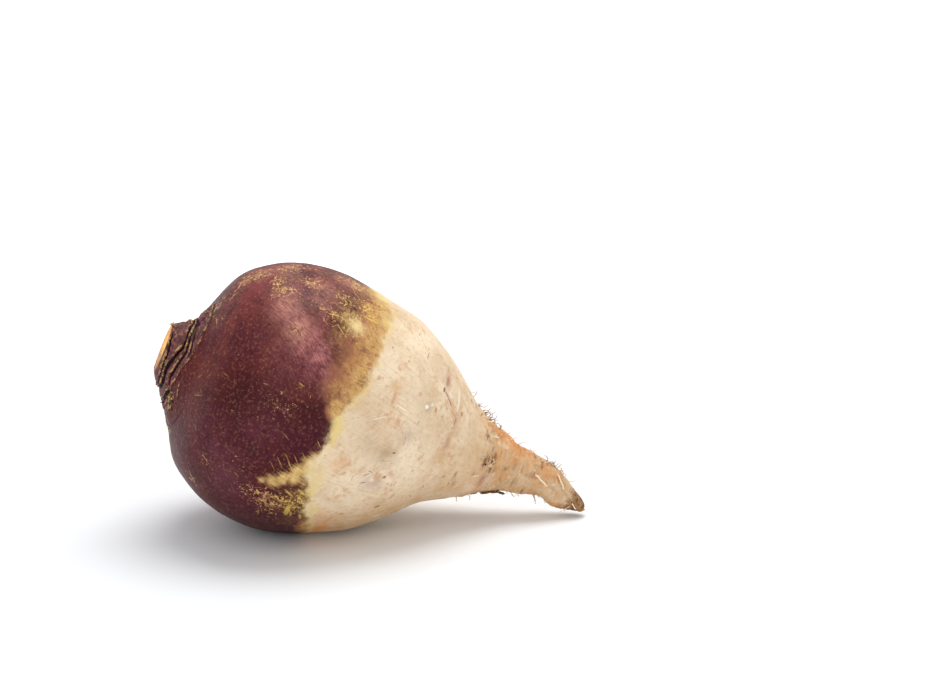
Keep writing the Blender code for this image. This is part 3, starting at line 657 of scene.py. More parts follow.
# Small marks on the cream: path and angle of the middle, length, width (mm), tilt from going round
# the root towards going along it, strength
smallMarks = {
    "dark": [
        (106.1, -128.8, 1.8, 1.2, 70, 0.6), (120, -124.9, 2.6, 1.5, 80, 0.85),
        (107.7, -107.5, 2.2, 0.7, 80, 0.8), (107.6, -102.8, 2.8, 0.5, 60, 0.8),
        (108.6, -101.2, 2.8, 0.5, -75, 0.8), (115.7, -103.7, 1.4, 1.1, 30, 1),
        (112.4, -94.7, 7, 0.35, 84, 0.45), (115.2, -89.8, 1.7, 1, 80, 0.9), (118.1, -84.6, 1.4, 0.7, 0, 0.8),
        (117.8, -81.4, 0.9, 0.7, 0, 0.6), (123.6, -81.1, 1.4, 0.8, 0, 0.4), (100.4, -40.5, 1.2, 0.9, 0, 0.6),
        (112.7, -22.3, 2.8, 0.6, 15, 0.5), (129.1, -100.4, 1.4, 0.9, 60, 0.5),
        (140.5, -118.1, 2.6, 0.8, -20, 0.6), (135.8, -124.5, 3, 0.7, -40, 0.45),
        (149.9, -109.8, 2.2, 1.4, 60, 0.45), (154.6, -118.1, 2.2, 0.8, -20, 0.6), (152, -126, 4, 0.5, 30, 0.4),
        (135, -49.9, 8.4, 0.9, -56, 0.85), (131.2, -46.3, 2.6, 1.5, 10, 1), (118.1, -32.7, 4, 0.4, 15, 0.5),
        (125.4, -25.4, 8, 0.4, 60, 0.55), (133.8, -63.4, 1.2, 0.5, 40, 0.6), (166, -48.3, 4, 0.8, 5, 0.9),
        (170.5, -60, 3.6, 1.2, 20, 0.6), (168.2, -80.6, 6, 1.8, 3, 0.9), (173.6, -69.2, 4.6, 1.3, -6, 1),
        (173.3, -93.6, 2.6, 0.9, 8, 0.9), (175.4, -88.4, 3, 0.5, 10, 0.8), (176.3, -57.7, 3, 0.5, 5, 0.8),
        (180.1, -107.7, 2.6, 0.6, -12, 0.6), (185.3, -37.9, 8, 0.4, 6, 0.5), (194.2, -79.6, 3.6, 0.6, 4, 0.7),
        (205.1, -102.5, 3, 0.4, 0, 0.5), (161, -22, 5, 0.8, 25, 0.8), (214, -100, 3, 0.5, 0, 0.6),
        (132, -30, 6, 0.6, 12, 0.4), (146.5, -70, 4, 0.5, 10, 0.4),
    ],
    "scratch": [
        (103, -74.9, 8, 0.45, 62, 0.8), (111.4, -67.1, 8, 0.6, -78, 0.9), (110.3, -64.6, 5, 0.4, -80, 0.6),
        (110.2, -62.6, 5, 0.45, -80, 0.7), (123.2, -61.9, 2.4, 2, 30, 1), (126, -59.4, 1.6, 1, 30, 0.8),
        (135.8, -46.5, 4, 1.2, -50, 0.8), (142.1, -65.5, 2.2, 0.8, 10, 0.8), (142.4, -44, 11, 1.8, -8, 0.6),
        (170.7, -38.5, 4.4, 0.5, 30, 0.8), (96, -86, 5, 0.35, 55, 0.5), (141.6, -16, 4, 0.5, 18, 0.9),
        (139.8, -14, 3, 0.4, 10, 0.7), (99, -60, 4, 0.3, 70, 0.5), (104, -84, 5, 0.35, 40, 0.5),
        (151, -52, 9, 1.2, 0, 0.3), (118, -45, 5, 0.3, 30, 0.35), (107, -32, 6, 0.35, 55, 0.35),
    ],
    "rustAndStubShadow": [
        # the first three lie beside the two thick pale stubs: brown where they grow, and painted shadow beside
        # them
        (195.6, -80, 3, 1.6, 20, 0.9), (205.4, -44, 3.2, 1.8, 10, 0.9), (201, -90, 3, 0.8, -30, 0.7),
        (109, -43.4, 1.8, 1.2, 0, 0.6), (132.6, -38.6, 6, 2.2, 8, 0.7), (146.3, -52.6, 2.4, 1.6, -20, 1),
        (128.9, -61.4, 3, 1.6, -10, 0.7), (106.6, -64, 7, 1.4, 2, 0.45), (143.2, -61.6, 4, 1.4, 10, 0.7),
        (165.3, -44, 4, 1.4, 0, 0.8), (121.5, -71.6, 2.4, 1.2, 20, 0.5), (97.5, -103.5, 4, 1.6, 60, 0.5),
        (124.5, -118.5, 4, 2.4, 40, 0.4), (130.5, -91, 5, 2, 30, 0.35), (117.8, -34.8, 3.6, 0.8, 5, 0.6),
        (178, -36, 4, 0.8, 0, 0.5), (204, -62, 4, 1, 4, 0.6),
    ],
    "gilt": [
        (88.8, -31.8, 8.6, 1.3, 88, 0.95), (86.5, -28.4, 6, 0.6, -84, 0.7), (73.5, -37.8, 8, 0.5, 86, 0.8),
        (68.6, -36.6, 3, 0.7, 80, 0.8), (76.8, -43.8, 6, 0.5, -45, 0.75), (93.2, -22.4, 6, 0.7, 52, 0.8),
        (74.8, -27.2, 4, 0.5, -45, 0.75), (80, -17.5, 8, 0.45, -14, 0.6), (88.4, -18, 3, 0.4, 60, 0.7),
        (82, -21.5, 6, 0.4, -30, 0.6), (91.5, -12.5, 5, 0.5, -50, 0.6), (72, -31.5, 5, 0.4, 70, 0.5),
        (69.3, -124.8, 3, 1.5, -30, 0.8), (83.5, -129, 9, 2.6, -8, 0.85), (85.8, -131.5, 4, 1, -20, 0.7),
        (80.2, -118.5, 5.4, 1, -60, 0.8), (84.4, -116.2, 5, 1, -58, 0.8), (86.7, -121.3, 6, 0.9, -42, 0.8),
        (90, -132.4, 5, 1.1, -25, 0.7), (74.2, -137.8, 4, 0.7, -20, 0.5), (77, -123, 3.6, 0.8, -50, 0.7),
        (71.5, -106, 6, 0.32, -46, 0.6), (73.7, -103.2, 6, 0.32, -46, 0.6), (76.8, -102.2, 6, 0.32, -44, 0.6),
        (75.6, -105.6, 7, 0.4, -46, 0.75), (69.5, -108.8, 5, 0.3, -46, 0.5), (79, -99.6, 4, 0.32, -44, 0.5),
        (69.3, -94.3, 4, 0.3, -60, 0.5), (82.6, -92.8, 4, 0.4, -45, 0.6), (67.8, -72.2, 3, 0.6, -70, 0.6),
        (61.7, -78.4, 1.4, 0.8, 0, 0.6), (54.7, -77, 2.6, 0.3, 80, 0.6), (91, -62.6, 4.4, 0.4, 88, 0.6),
        (90, -60.9, 5, 0.4, 84, 0.6), (91.4, -58.8, 4, 0.4, -88, 0.6), (89.6, -56.3, 5, 0.4, 86, 0.6),
        (91, -54.6, 6, 0.5, 86, 0.7), (91.6, -51.9, 5, 0.4, -84, 0.6), (89.8, -49.6, 4.4, 0.4, 84, 0.5),
        (49.2, -25, 8, 0.5, -14, 0.5), (47.8, -17.5, 7, 0.45, 12, 0.5), (50.6, -13, 5, 0.4, 30, 0.45),
        (29, -18, 9, 0.5, 30, 0.5), (21.8, -33, 6, 0.5, -16, 0.5), (34.5, -9, 5, 0.5, 40, 0.4),
        (26, -100, 6, 0.5, 64, 0.4), (22, -86, 4, 0.4, 58, 0.4), (34, -118, 3, 0.4, -40, 0.4),
    ],
}


def markMask(f, place, path, angle, length, width, tilt):
    # one soft mark laid on the skin: an oval of this length and width round its middle
    line = sideOutline()
    linePath = pathDown(line)
    down = np.interp(path / 1000, linePath, line[:, 0])
    radius = np.interp(path / 1000, linePath, line[:, 1])
    slope = [np.interp(path / 1000, linePath, column) for column in np.gradient(line, linePath, axis=0).T]
    turn, lean = math.radians(angle), math.radians(tilt)
    around = Vector((-math.sin(turn), math.cos(turn), 0))
    along = Vector((slope[1] * math.cos(turn), slope[1] * math.sin(turn), -slope[0]))
    lengthwise = around * math.cos(lean) + along * math.sin(lean)
    out = around.cross(along)
    turned = Matrix((lengthwise, out.cross(lengthwise), out)).transposed().to_euler()
    middle = Vector((radius * math.cos(turn), radius * math.sin(turn), root["length"] - down)) * 100
    # mm to cm, and smaller again because the soft edge adds to the reach
    reach = (length / 17, width / 17, 0.35)
    inputs = {"Vector": place, "Location": middle, "Rotation": turned, "Scale": reach}
    laid = f.add("ShaderNodeMapping", inputs, vector_type="TEXTURE").outputs[0]
    return f.add("ShaderNodeTexGradient", {0: laid}, gradient_type="SPHERICAL").outputs["Fac"]


def marksOf(f, kind):
    # every mark of one kind, its outline made a little ragged
    ragged = f.plus(1.0, f.wobble(0.10, 2), 2.6)
    place = f.place()
    found = None
    for *shape, strength in smallMarks[kind]:
        mask = f.times(f.between(f.times(markMask(f, place, *shape), ragged), 0.04, 0.50), strength)
        found = mask if found is None else f.maths("MAXIMUM", found, mask)
    return found


# Tones laid over one another: tone, the field it keeps to, its patches (size in cm, where they start and
# end, detail, roughness), strength
skinWashes = {
    "purple": [
        ("russet", "russet", (1.5, 0.22, 0.55), 1), ("crimson", "crimson", (0.9, 0.25, 0.58), 1),
        ("greyMauve", "grey", (0.8, 0.22, 0.60, 4, 0.65), 1), ("maroon", "dusk", (1.2, 0.30, 0.52), 1),
        ("plumLight", "plumGround", (0.5, 0.20, 0.62, 4, 0.65), 1), ("plum", "", (1.5, 0.50, 0.64), 0.6),
    ],
    "haze": [("ochreLight", "giltHaze", (0.22, 0.34, 0.62, 4, 0.7), 0.8)],
    "rosy": [("magentaSkin", "", (0.28, 0.48, 0.62, 4, 0.7), 0.45)],
    "purpleMottle": [
        ("fleck", "", (0.12, 0.50, 0.70, 3, 0.7), 0.20), ("night", "", (0.7, 0.52, 0.66, 4, 0.65), 0.40),
    ],
    "purpleGrain": [("night", "", (0.16, 0.50, 0.72, 4, 0.7), 0.35)],
    "cream": [
        ("beige", "", (0.9, 0.47, 0.66, 4, 0.6), 0.60),
        ("lightCream", "lightCream", (0.6, 0.25, 0.60, 4, 0.6), 1),
    ],
    "tailward": [("beige", "", (1.2, 0.25, 0.65), 1)],
    "creamSpots": [
        ("beige", "tan", (0.8, 0.22, 0.60, 4, 0.6), 1), ("tan", "tan", (0.35, 0.40, 0.65, 4, 0.6), 0.6),
        ("lavender", "lavender", (0.35, 0.30, 0.60, 4, 0.65), 1),
        ("smudge", "smudge", (0.5, 0.25, 0.60, 4, 0.65), 1),
        ("lavender", "", (0.8, 0.58, 0.70, 5, 0.6), 0.45), ("orange", "", (0.8, 0.56, 0.72, 4, 0.6), 0.38),
        ("orange", "orange", (0.6, 0.22, 0.55, 4, 0.6), 1),
    ],
    "creamMottle": [("tan", "", (0.20, 0.50, 0.66, 4, 0.7), 0.30)],
    "tailStains": [
        ("stain", "stain", (0.3, 0.20, 0.50, 4, 0.6), 1),
        ("tailBrown", "scaly", (0.22, 0.35, 0.60, 4, 0.65), 0.75),
        ("tailDark", "scaly", (0.15, 0.50, 0.62, 4, 0.6), 0.9),
    ],
    "tailBlotches": [("tailBrown", "", (0.35, 0.60, 0.72, 4, 0.65), 0.45)],
    # rough skin: warm and brown patches with scraped pale ones between
    "tailRough": [
        ("rustAndStubShadow", "orange", (0.30, 0.50, 0.58, 5, 0.7), 0.55), ("tan", "", (0.42, 0.53, 0.61, 5, 0.7), 0.55),
        ("scratch", "", (0.26, 0.57, 0.65, 4, 0.7), 0.40), ("orange", "", (0.7, 0.46, 0.62, 4, 0.65), 0.40),
    ],
    "pits": [("tailDark", "pit", None, 0.7)],
    "tipDark": [("tailDark", "", (0.16, 0.52, 0.64, 4, 0.65), 0.8)],
    "cutLow": [("cutLow", "", (0.25, 0.30, 0.60, 4, 0.6), 0.8)],
    "paleSpot": [("paleSpot", "paleSpot", (0.25, 0.15, 0.50, 4, 0.6), 1)],
    "yellow": [("paleGold", "yellow", (0.25, 0.25, 0.55, 4, 0.6), 1)],
    "yellowing": [("paleGold", "", (0.3, 0.15, 0.55, 3, 0.6), 1)],
}


def purpleTone(f):
    # the crown side: dark wine red, browner and greyer in places
    colour = f.blend(f.patches(2.6, 0.36, 0.62), "maroon", "wine")
    colour = f.wash(colour, "purple")
    # partly rosier skin, partly painted sheen: a pale rosy highlight with fine slanting ripples
    ripple = f.between(f.threads(0.26, 0.07, "climbing"), 0.36, 0.66)
    paintedSheen = f.times(f.field("paintedSheen"), f.patches(0.4, 0.18, 0.62, 5, 0.65))
    colour = f.lay(colour, "magentaSkin", paintedSheen, 0.8)
    colour = f.lay(colour, "paintedSheen", paintedSheen, f.plus(0.25, ripple, 0.7))
    # lighter dusty skin with painted sheen in it, rippled like the painted sheen above
    dustAndSheen = f.times(f.field("dustAndSheen"), f.patches(0.20, 0.22, 0.60, 4, 0.7))
    colour = f.lay(colour, "dustAndSheen", dustAndSheen, f.plus(0.5, ripple, 0.5))
    colour = f.wash(colour, "haze")
    # towards the cream it fades through tan to ochre
    wander = f.wobble(0.5, 5, 0.62)
    fade = f.plus(f.between(f.field("purpleSide"), 2.3, 0.25), wander, 0.75)
    fade = f.times(fade, f.between(f.field("ochre"), 0.05, 0.6))
    colour = f.lay(colour, "olive", f.between(fade, 0.04, 0.42), 0.85)
    colour = f.blend(f.between(fade, 0.34, 0.85), colour, "ochre")
    colour = f.lay(colour, "ochreLight", f.between(fade, 0.72, 1.05), 0.6)
    colour = f.lay(colour, "russet", f.between(f.threads(0.35, 0.05, "leaning"), 0.52, 0.66), 0.22)
    colour = f.wash(colour, "rosy", f.between(fade, 0.20, 0.50))
    # fine mottle, a little lighter and a little darker
    colour = f.wash(colour, "purpleMottle")
    grainy = f.between(f.threads(0.30, 0.05, "climbing"), 0.50, 0.74)
    colour = f.lay(colour, "night", grainy, 0.35)
    return f.wash(colour, "purpleGrain")


def creamTone(f):
    colour = f.blend(f.patches(2.2, 0.36, 0.64), "cream", "pale")
    colour = f.wash(colour, "cream")
    colour = f.wash(colour, "tailward", f.between(f.field("share"), 0.55, 0.80))
    colour = f.wash(colour, "creamSpots")
    colour = f.lay(colour, "tan", f.between(f.threads(1.2, 0.08, "leaning"), 0.48, 0.72), 0.22)
    colour = f.lay(colour, "scratch", f.between(f.threads(1.0, 0.06, "falling"), 0.54, 0.72), 0.24)
    return f.wash(colour, "creamMottle")


def tailTone(f, colour):
    # the taproot: stains, scaly rings and the pits that rootlets left
    share = f.field("share")
    colour = f.wash(colour, "tailStains")
    rings = f.noise(f.place("meridian", (1.3, 1.3, 42)), 1.0, 3, 0.6, 0.4)
    tailward = f.between(share, 0.66, 0.80)
    colour = f.lay(colour, "tan", tailward, f.between(rings, 0.50, 0.68), 0.40)
    colour = f.lay(colour, "pale", tailward, f.between(rings, 0.44, 0.32), 0.35)
    colour = f.wash(colour, "tailBlotches", tailward)
    colour = f.wash(colour, "tailRough", f.between(share, 0.70, 0.76))
    colour = f.wash(colour, "pits")
    tip = f.plus(f.between(share, 0.925, 0.975), f.wobble(0.3, 4, 0.6), 1.2)
    colour = f.lay(colour, "tailBrown", f.between(tip, 0.25, 0.80), 0.85)
    return f.wash(colour, "tipDark", f.between(share, 0.93, 0.97))


def crownTone(f, colour, fibres):
    # leaf bases with thin corky rims, painted shade darkening the furrows and hollows between them, and the cut
    # face
    granule = f.field("granule")
    inside = f.between(f.plus(f.field("leafSide"), f.wobble(0.2, 3), 0.12), -0.02, 0.02)
    leafTone = f.blend(f.patches(0.4, 0.35, 0.62), "leafBase", "leafBrown")
    leafTone = f.lay(leafTone, "rim", f.between(fibres, 0.50, 0.70), 0.45)
    # and a little painted shade in the grooves between the fibres
    leafTone = f.lay(leafTone, "furrowShade", f.between(fibres, 0.48, 0.34), 0.5)
    colour = f.blend(inside, colour, leafTone)
    colour = f.lay(colour, "lobe", f.field("lobe"), 0.9)
    # painted shade: near-black in the furrows below the rims, dark magenta in the hollows
    grooveShade = f.blend(f.between(f.field("hollow"), 0.15, 0.45), "furrowShade", "hollowShade")
    colour = f.blend(f.between(f.field("furrowShade"), 0.22, 0.75), colour, grooveShade)
    rimLine = f.between(f.plus(f.field("rimNear"), f.mottle(0.13, 3, 0.6), 0.6), 0.56, 0.42)
    rimShade = f.blend(f.patches(0.25, 0.38, 0.60, 2), "leafBrown", "rim")
    colour = f.blend(rimLine, colour, rimShade)
    corkTone = f.blend(f.between(granule, 0.20, 0.60), "corkDark", "cork")
    colour = f.blend(f.between(f.field("cork"), 0.2, 0.55), colour, corkTone)

    cutRadius = f.plus(f.field("cutRadius"), f.wobble(0.4, 3), 0.3)
    cutTone = f.blend(f.between(cutRadius, 0.40, 0.80), "cutMiddle", "cutRing")
    cutTone = f.blend(f.between(cutRadius, 0.90, 1.02), cutTone, "cutEdge")
    low = f.between(f.add("ShaderNodeSeparateXYZ", {0: f.field("meridian", "Vector")}).outputs[0], -0.1, -0.8)
    cutTone = f.wash(cutTone, "cutLow", low)
    return f.blend(f.between(f.field("onCut"), 0.3, 0.7), colour, cutTone)


def finishSkin(piece):
    f = Finish("rootSkin")

    # how far inside the purple, in cm, with a soft wandering edge that is frayed at the tongue
    wander = f.wobble(0.45, 5, 0.65)
    threads = f.maths("SUBTRACT", f.noise(f.place("leaning", (100, 100, 7)), 1.0, 2, 0.6), 0.5)
    edge = f.plus(f.field("purpleSide"), wander, 0.8)
    purple = f.between(edge, -0.16, 0.20)
    tongue = f.plus(f.plus(f.field("tongue"), wander, 1.0), threads, 0.9)
    bare = f.between(tongue, 0.26, 1.0)

    # rubbed ground: flecks, curls and crossing scratches, thickest where it is most worn
    wear = f.plus(f.field("worn"), f.wobble(0.7, 4, 0.65), 0.9)
    wear = f.plus(wear, f.between(f.field("purpleSide"), 0.7, 0.0), 0.15)
    specks = f.noise(f.place("grown", (1, 1, 1.15)), 0.13, 2, 0.62)
    rubbed = f.between(f.plus(specks, wear, 0.22), 0.705, 0.775)
    dust = f.times(f.between(specks, 0.61, 0.75), f.patches(1.3, 0.42, 0.64))
    loops = f.maths("ABSOLUTE", f.wobble(0.24, 1, 0.5))
    broken = f.plus(f.noise(f.place("grown", (1.2, 1.2, 1)), 0.15, 2, 0.6), wear, 0.24)
    curls = f.times(f.between(loops, 0.030, 0.010), f.between(broken, 0.645, 0.725))
    scratches = f.maths("MAXIMUM", f.threads(0.8, 0.05, "climbing"), f.threads(0.7, 0.045, "falling"))
    scratches = f.maths("MAXIMUM", scratches, f.threads(1.1, 0.05, "leaning"))
    gilt = f.between(f.plus(scratches, wear, 0.16), 0.755, 0.82)

    skin = purpleTone(f)
    skin = f.lay(skin, "fleck", dust, 0.28)
    fleckTone = f.blend(f.patches(0.5, 0.45, 0.60), "fleck", "ochreLight")
    fleckTone = f.blend(f.between(f.field("giltHaze"), 0.02, 0.25), fleckTone, "gold")
    clear = f.plus(0.22, f.between(wear, 0.05, 0.60), 0.60)
    skin = f.lay(skin, fleckTone, rubbed, clear)
    skin = f.lay(skin, fleckTone, curls, clear)
    skin = f.lay(skin, "gold", gilt, 0.85)
    tongueMask = f.times(f.between(tongue, 0.5, 1.1), f.patches(0.16, 0.42, 0.60))
    tongueTone = f.blend(tongueMask, "ochreLight", "paleGold")
    skin = f.lay(skin, tongueTone, bare, 0.9)
    skin = f.lay(skin, "gold", marksOf(f, "gilt"), 0.8)
    skin = f.wash(skin, "paleSpot")
    skin = f.wash(skin, "yellow")

    cream = creamTone(f)
    atEdge = f.times(f.between(edge, -0.45, 0.05), f.patches(0.9, 0.30, 0.62))
    yellowing = f.plus(f.field("yellow"), atEdge, 0.8)
    cream = f.wash(cream, "yellowing", yellowing)
    colour = f.blend(purple, cream, skin)

    # small marks: strewn ones, then those that have a place of their own
    dash = f.between(f.noise(f.place("meridian", (10, 10, 90)), 1.0, 2, 0.6), 0.66, 0.74)
    strewn = f.times(f.maths("MAXIMUM", dash, f.patches(0.14, 0.68, 0.76, 2, 0.6)), f.patches(1.1, 0.42, 0.60))
    colour = f.lay(colour, "dark", strewn, f.less(purple), 0.5)
    # rust marks, and painted shadow beside the pale stubs on the taproot
    colour = f.lay(colour, "rustAndStubShadow", marksOf(f, "rustAndStubShadow"), 0.8)
    colour = f.lay(colour, "dark", marksOf(f, "dark"), 0.8)
    colour = f.blend(marksOf(f, "scratch"), colour, "scratch")
    colour = tailTone(f, colour)
    fibres = f.noise(f.place("meridian", (9, 9, 120)), 1.0, 3, 0.6)
    f.set("Base Color", crownTone(f, colour, fibres))

    inCrown = f.between(f.field("leafSide"), -0.02, 0.04)
    gloss = f.plus(f.plus(0.36, f.mottle(0.3, 3), 0.16), f.less(purple), 0.08)
    f.set("Roughness", f.plus(gloss, inCrown, 0.08))
    f.set("Specular IOR Level", 0.12)
    pores, lowBumps = f.mottle(0.05, 3, 0.6), f.mottle(0.18, 3)
    tailRough = f.times(f.between(f.field("share"), 0.70, 0.78), f.mottle(0.10, 4, 0.65))
    f.bump((pores, 0.00005), (tailRough, 0.00035), (lowBumps, 0.00012), (f.times(fibres, inCrown), 0.0002))
    piece.data.materials.append(f.material)


skinPiece, skinGrid = makeRoot()
print("root made:", len(skinPiece.data.polygons), "faces")
finishSkin(skinPiece)
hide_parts("turnip")
print("skin finished")


def curlyRun(draw, start, aim, length, curl, step=0.0005):
    # places along a hair that wanders off in its own direction, all in metres
    places, way = [start], aim.normalized()
    axis = Vector([draw.uniform(-1, 1) for _ in range(3)]).normalized()
    for _ in range(max(3, int(length / step))):
        axis = (axis + Vector([draw.uniform(-0.5, 0.5) for _ in range(3)])).normalized()
        way = Quaternion(axis, curl * step * draw.uniform(0.4, 1.6)) @ way
        places.append(places[-1] + way * step)
    return places


def tubePiece(name, runs, sides=6):
    # one mesh of closed tubes; each run is its places, its radius, how far it thins to, and its tint
    points, faces, tints = [], [], []
    turns = np.linspace(0, 2 * math.pi, sides, endpoint=False)
    for places, radius, thin, tint in runs:
        places = np.array([list(p) for p in places])
        ways = np.gradient(places, axis=0)
        ways /= np.linalg.norm(ways, axis=1)[:, None]
        side = np.cross(ways[0], (0.31, 0.2, 0.93))  # a way that no hair sets out along
        first = len(points)
        for place, way, size in zip(places, ways, np.linspace(radius, radius * thin, len(places))):
            side = side - way * side.dot(way)
            side /= np.linalg.norm(side)
            up = np.cross(way, side)
            points += [place + size * (side * math.cos(t) + up * math.sin(t)) for t in turns]
        points += [places[0] - ways[0] * radius * 0.5, places[-1] + ways[-1] * radius * thin * 0.6]
        tints += [tint] * (len(points) - first)
        rows = first + np.arange(len(places) * sides).reshape(-1, sides)
        for here, beyond in zip(rows[:-1], rows[1:]):
            faces += [(here[i], here[i - sides + 1], beyond[i - sides + 1], beyond[i]) for i in range(sides)]
        start, end = len(points) - 2, len(points) - 1
        faces += [(start, rows[0][i - sides + 1], rows[0][i]) for i in range(sides)]
        faces += [(end, rows[-1][i], rows[-1][i - sides + 1]) for i in range(sides)]
    mesh = bpy.data.meshes.new(name)
    mesh.from_pydata([tuple(p) for p in points], [], [tuple(int(i) for i in f) for f in faces])
    mesh.attributes.new("tint", "FLOAT", "POINT").data.foreach_set("value", tints)
    return standPiece(name, mesh)


rootlets = {
    # the broken-off ones, strewn as on the solid root: two rows and a few strays
    "seed": 7,
    "perRow": 8,
    "shares": (0.69, 0.965),
    "spread": 0.28,  # radians off the row
    "strays": 5,
    "thickness": 0.6,
    "curl": 160,  # radians a metre
    # pale roots that lie on the skin: radius in mm, then path and angle of places along each
    "laid": [
        (0.46, [(194.6, -77), (197.0, -84), (200.4, -93)]), (0.42, [(204.6, -38), (206.5, -52), (208.6, -66)]),
        (0.17, [(168.0, -45), (170.4, -39), (173.3, -32)]), (0.17, [(161.6, -24), (164.5, -18), (167.0, -12)]),
        (0.14, [(140.6, -20), (142.2, -14), (143.0, -9)]), (0.14, [(133.6, -50), (136.0, -47), (138.5, -46)]),
        (0.30, [(215.0, -96), (216.4, -104), (217.6, -112)]), (0.20, [(170.0, -86), (172.5, -80), (172.0, -74)]),
        (0.18, [(186.0, 150), (190.0, 158), (193.0, 170)]), (0.20, [(176.0, 120), (180.0, 128), (182.0, 140)]),
    ],
    "laidLift": 0.0001,
    "laidRise": 1.6,  # how far the loose end stands off, in radii for each 12 places
    # tufts of curly hairs: path, angle, how many, length in mm
    "tuftSeed": 19,
    "tufts": [
        (155, -4, 2, 4), (160, -6, 4, 5), (163, -8, 6, 6), (166, -10, 6, 6), (169, -8, 6, 5.5), (173, -6, 4, 4.5),
        (178, 2, 2, 3), (200, -8, 5, 5), (203, -12, 6, 5.5), (206, -14, 4, 4.5), (172, -82, 4, 2.5),
        (174, -92, 3, 2.5), (162, 170, 4, 5), (170, 178, 4, 5), (186, 168, 4, 4), (200, 175, 3, 4),
        (216, -100, 2, 2),
    ],
    "hairRadius": 0.00021,
    "hairCurl": 800,
    # one long pale hair near the tip: path, angle, length, radius and the way it points
    "tipHair": (215.5, -120, 0.0075, 0.00015, (-0.80, -0.35, -0.20)),
    "pale": tone(250, 232, 200),
    "brown": tone(150, 106, 66),
}


def rootletRuns(grid):
    draw = random.Random(rootlets["seed"])
    low, high = rootlets["shares"]
    count, spread = rootlets["perRow"], rootlets["spread"]
    places = []
    for row in taproot["rows"]:
        for i in range(count):
            share = low + (high - low) * (i + draw.uniform(0.1, 0.9)) / count
            places.append((share, math.radians(row) + draw.uniform(-spread, spread)))
    for _ in range(rootlets["strays"]):
        places.append((draw.uniform(low, high - 0.03), draw.uniform(-math.pi, math.pi)))
    line = sideOutline()
    curls = random.Random(rootlets["seed"] + 1)
    runs = []
    for share, angle in places:
        path = np.interp(share * root["length"], line[:, 0], pathDown(line)) * 1000
        place, out, tipward = grid.at(path, math.degrees(angle))
        aim = (tipward * draw.uniform(0.3, 1.0) + out.cross(tipward) * draw.uniform(-0.8, 0.8)).normalized()
        radius, reach = draw.uniform(0.0004, 0.0007) * rootlets["thickness"], draw.uniform(0.0018, 0.0050)
        start = place - out * radius * 2
        stub = curlyRun(curls, start, out + aim * 0.9, reach * 1.1, rootlets["curl"])
        runs.append((stub, radius, 0.45, curls.uniform(-0.2, 0.6)))
        for _ in range(curls.randint(0, 2)):
            hair = curlyRun(curls, start, out * 0.8 + aim, curls.uniform(0.002, 0.005), rootlets["hairCurl"])
            runs.append((hair, rootlets["hairRadius"], 0.5, curls.uniform(0.1, 0.8)))
    return runs


def hairRuns(grid):
    draw = random.Random(rootlets["tuftSeed"])
    runs = []
    for path, angle, count, length in rootlets["tufts"]:
        for _ in range(count):
            place, out, tipward = grid.at(path + draw.uniform(-1.4, 1.4), angle + draw.uniform(-6, 6))
            aim = out * draw.uniform(0.5, 1.2) + tipward * draw.uniform(-0.4, 1.0)
            aim += out.cross(tipward) * draw.uniform(-1, 1)
            reach = length / 1000 * draw.uniform(0.5, 1.1)
            hair = curlyRun(draw, place - out * 0.0004, aim, reach, rootlets["hairCurl"])
            runs.append((hair, rootlets["hairRadius"] * draw.uniform(0.7, 1.3), 0.4, draw.uniform(0.45, 1.0)))
    for radius, stops in rootlets["laid"]:
        radius /= 1000
        places = []
        for path, angle in smoothCurve(stops, 6):
            place, out, tipward = grid.at(path, angle)
            rise = radius * (0.4 + rootlets["laidRise"] * len(places) / 12)
            places.append(place + out * (rootlets["laidLift"] + rise))
        runs.append((places, radius, 0.75, -0.4))
    path, angle, length, radius, aim = rootlets["tipHair"]
    place, out, tipward = grid.at(path, angle)
    runs.append((curlyRun(draw, place, Vector(aim), length, 30), radius, 0.6, -0.2))
    return runs


def finishTubes(piece, pale, brown):
    f = Finish(piece.name, 0.7)
    clouds = f.noise(f.add("ShaderNodeTexCoord").outputs["Object"], 0.0012, 3)
    tint = f.plus(f.field("tint"), f.maths("SUBTRACT", clouds, 0.5))
    f.set("Base Color", f.blend(f.between(tint, 0.1, 0.9), pale, brown))
    f.set("Specular IOR Level", 0.15)
    piece.data.materials.append(f.material)


rootletPiece = tubePiece("rootlets", rootletRuns(skinGrid) + hairRuns(skinGrid))
finishTubes(rootletPiece, rootlets["pale"], rootlets["brown"])
print("rootlets made")


crownBits = {
    "seed": 23,
    # torn fibres: path, angle, how many, length in mm
    "fibres": [
        (0.6, -8, 6, 3), (1.4, -20, 5, 2.6), (0.8, -40, 3, 2), (3, -100, 2, 1.8), (7.2, -50, 2, 1.5),
        (9, -10, 3, 2.5), (12, -134, 4, 1.8), (14, -142, 3, 1.8), (17.5, 6, 3, 2.2), (20, -168, 3, 1.6),
        (6, 90, 4, 2.4), (12, 140, 4, 2.4), (2, 60, 3, 2.2),
    ],
    "fibreRadius": 0.00018,
    "fibreCurl": 380,
    "spike": (10.5, -176, 0.0030, 0.0006),
    "pale": tone(206, 166, 108),
    "brown": tone(70, 40, 32),
}


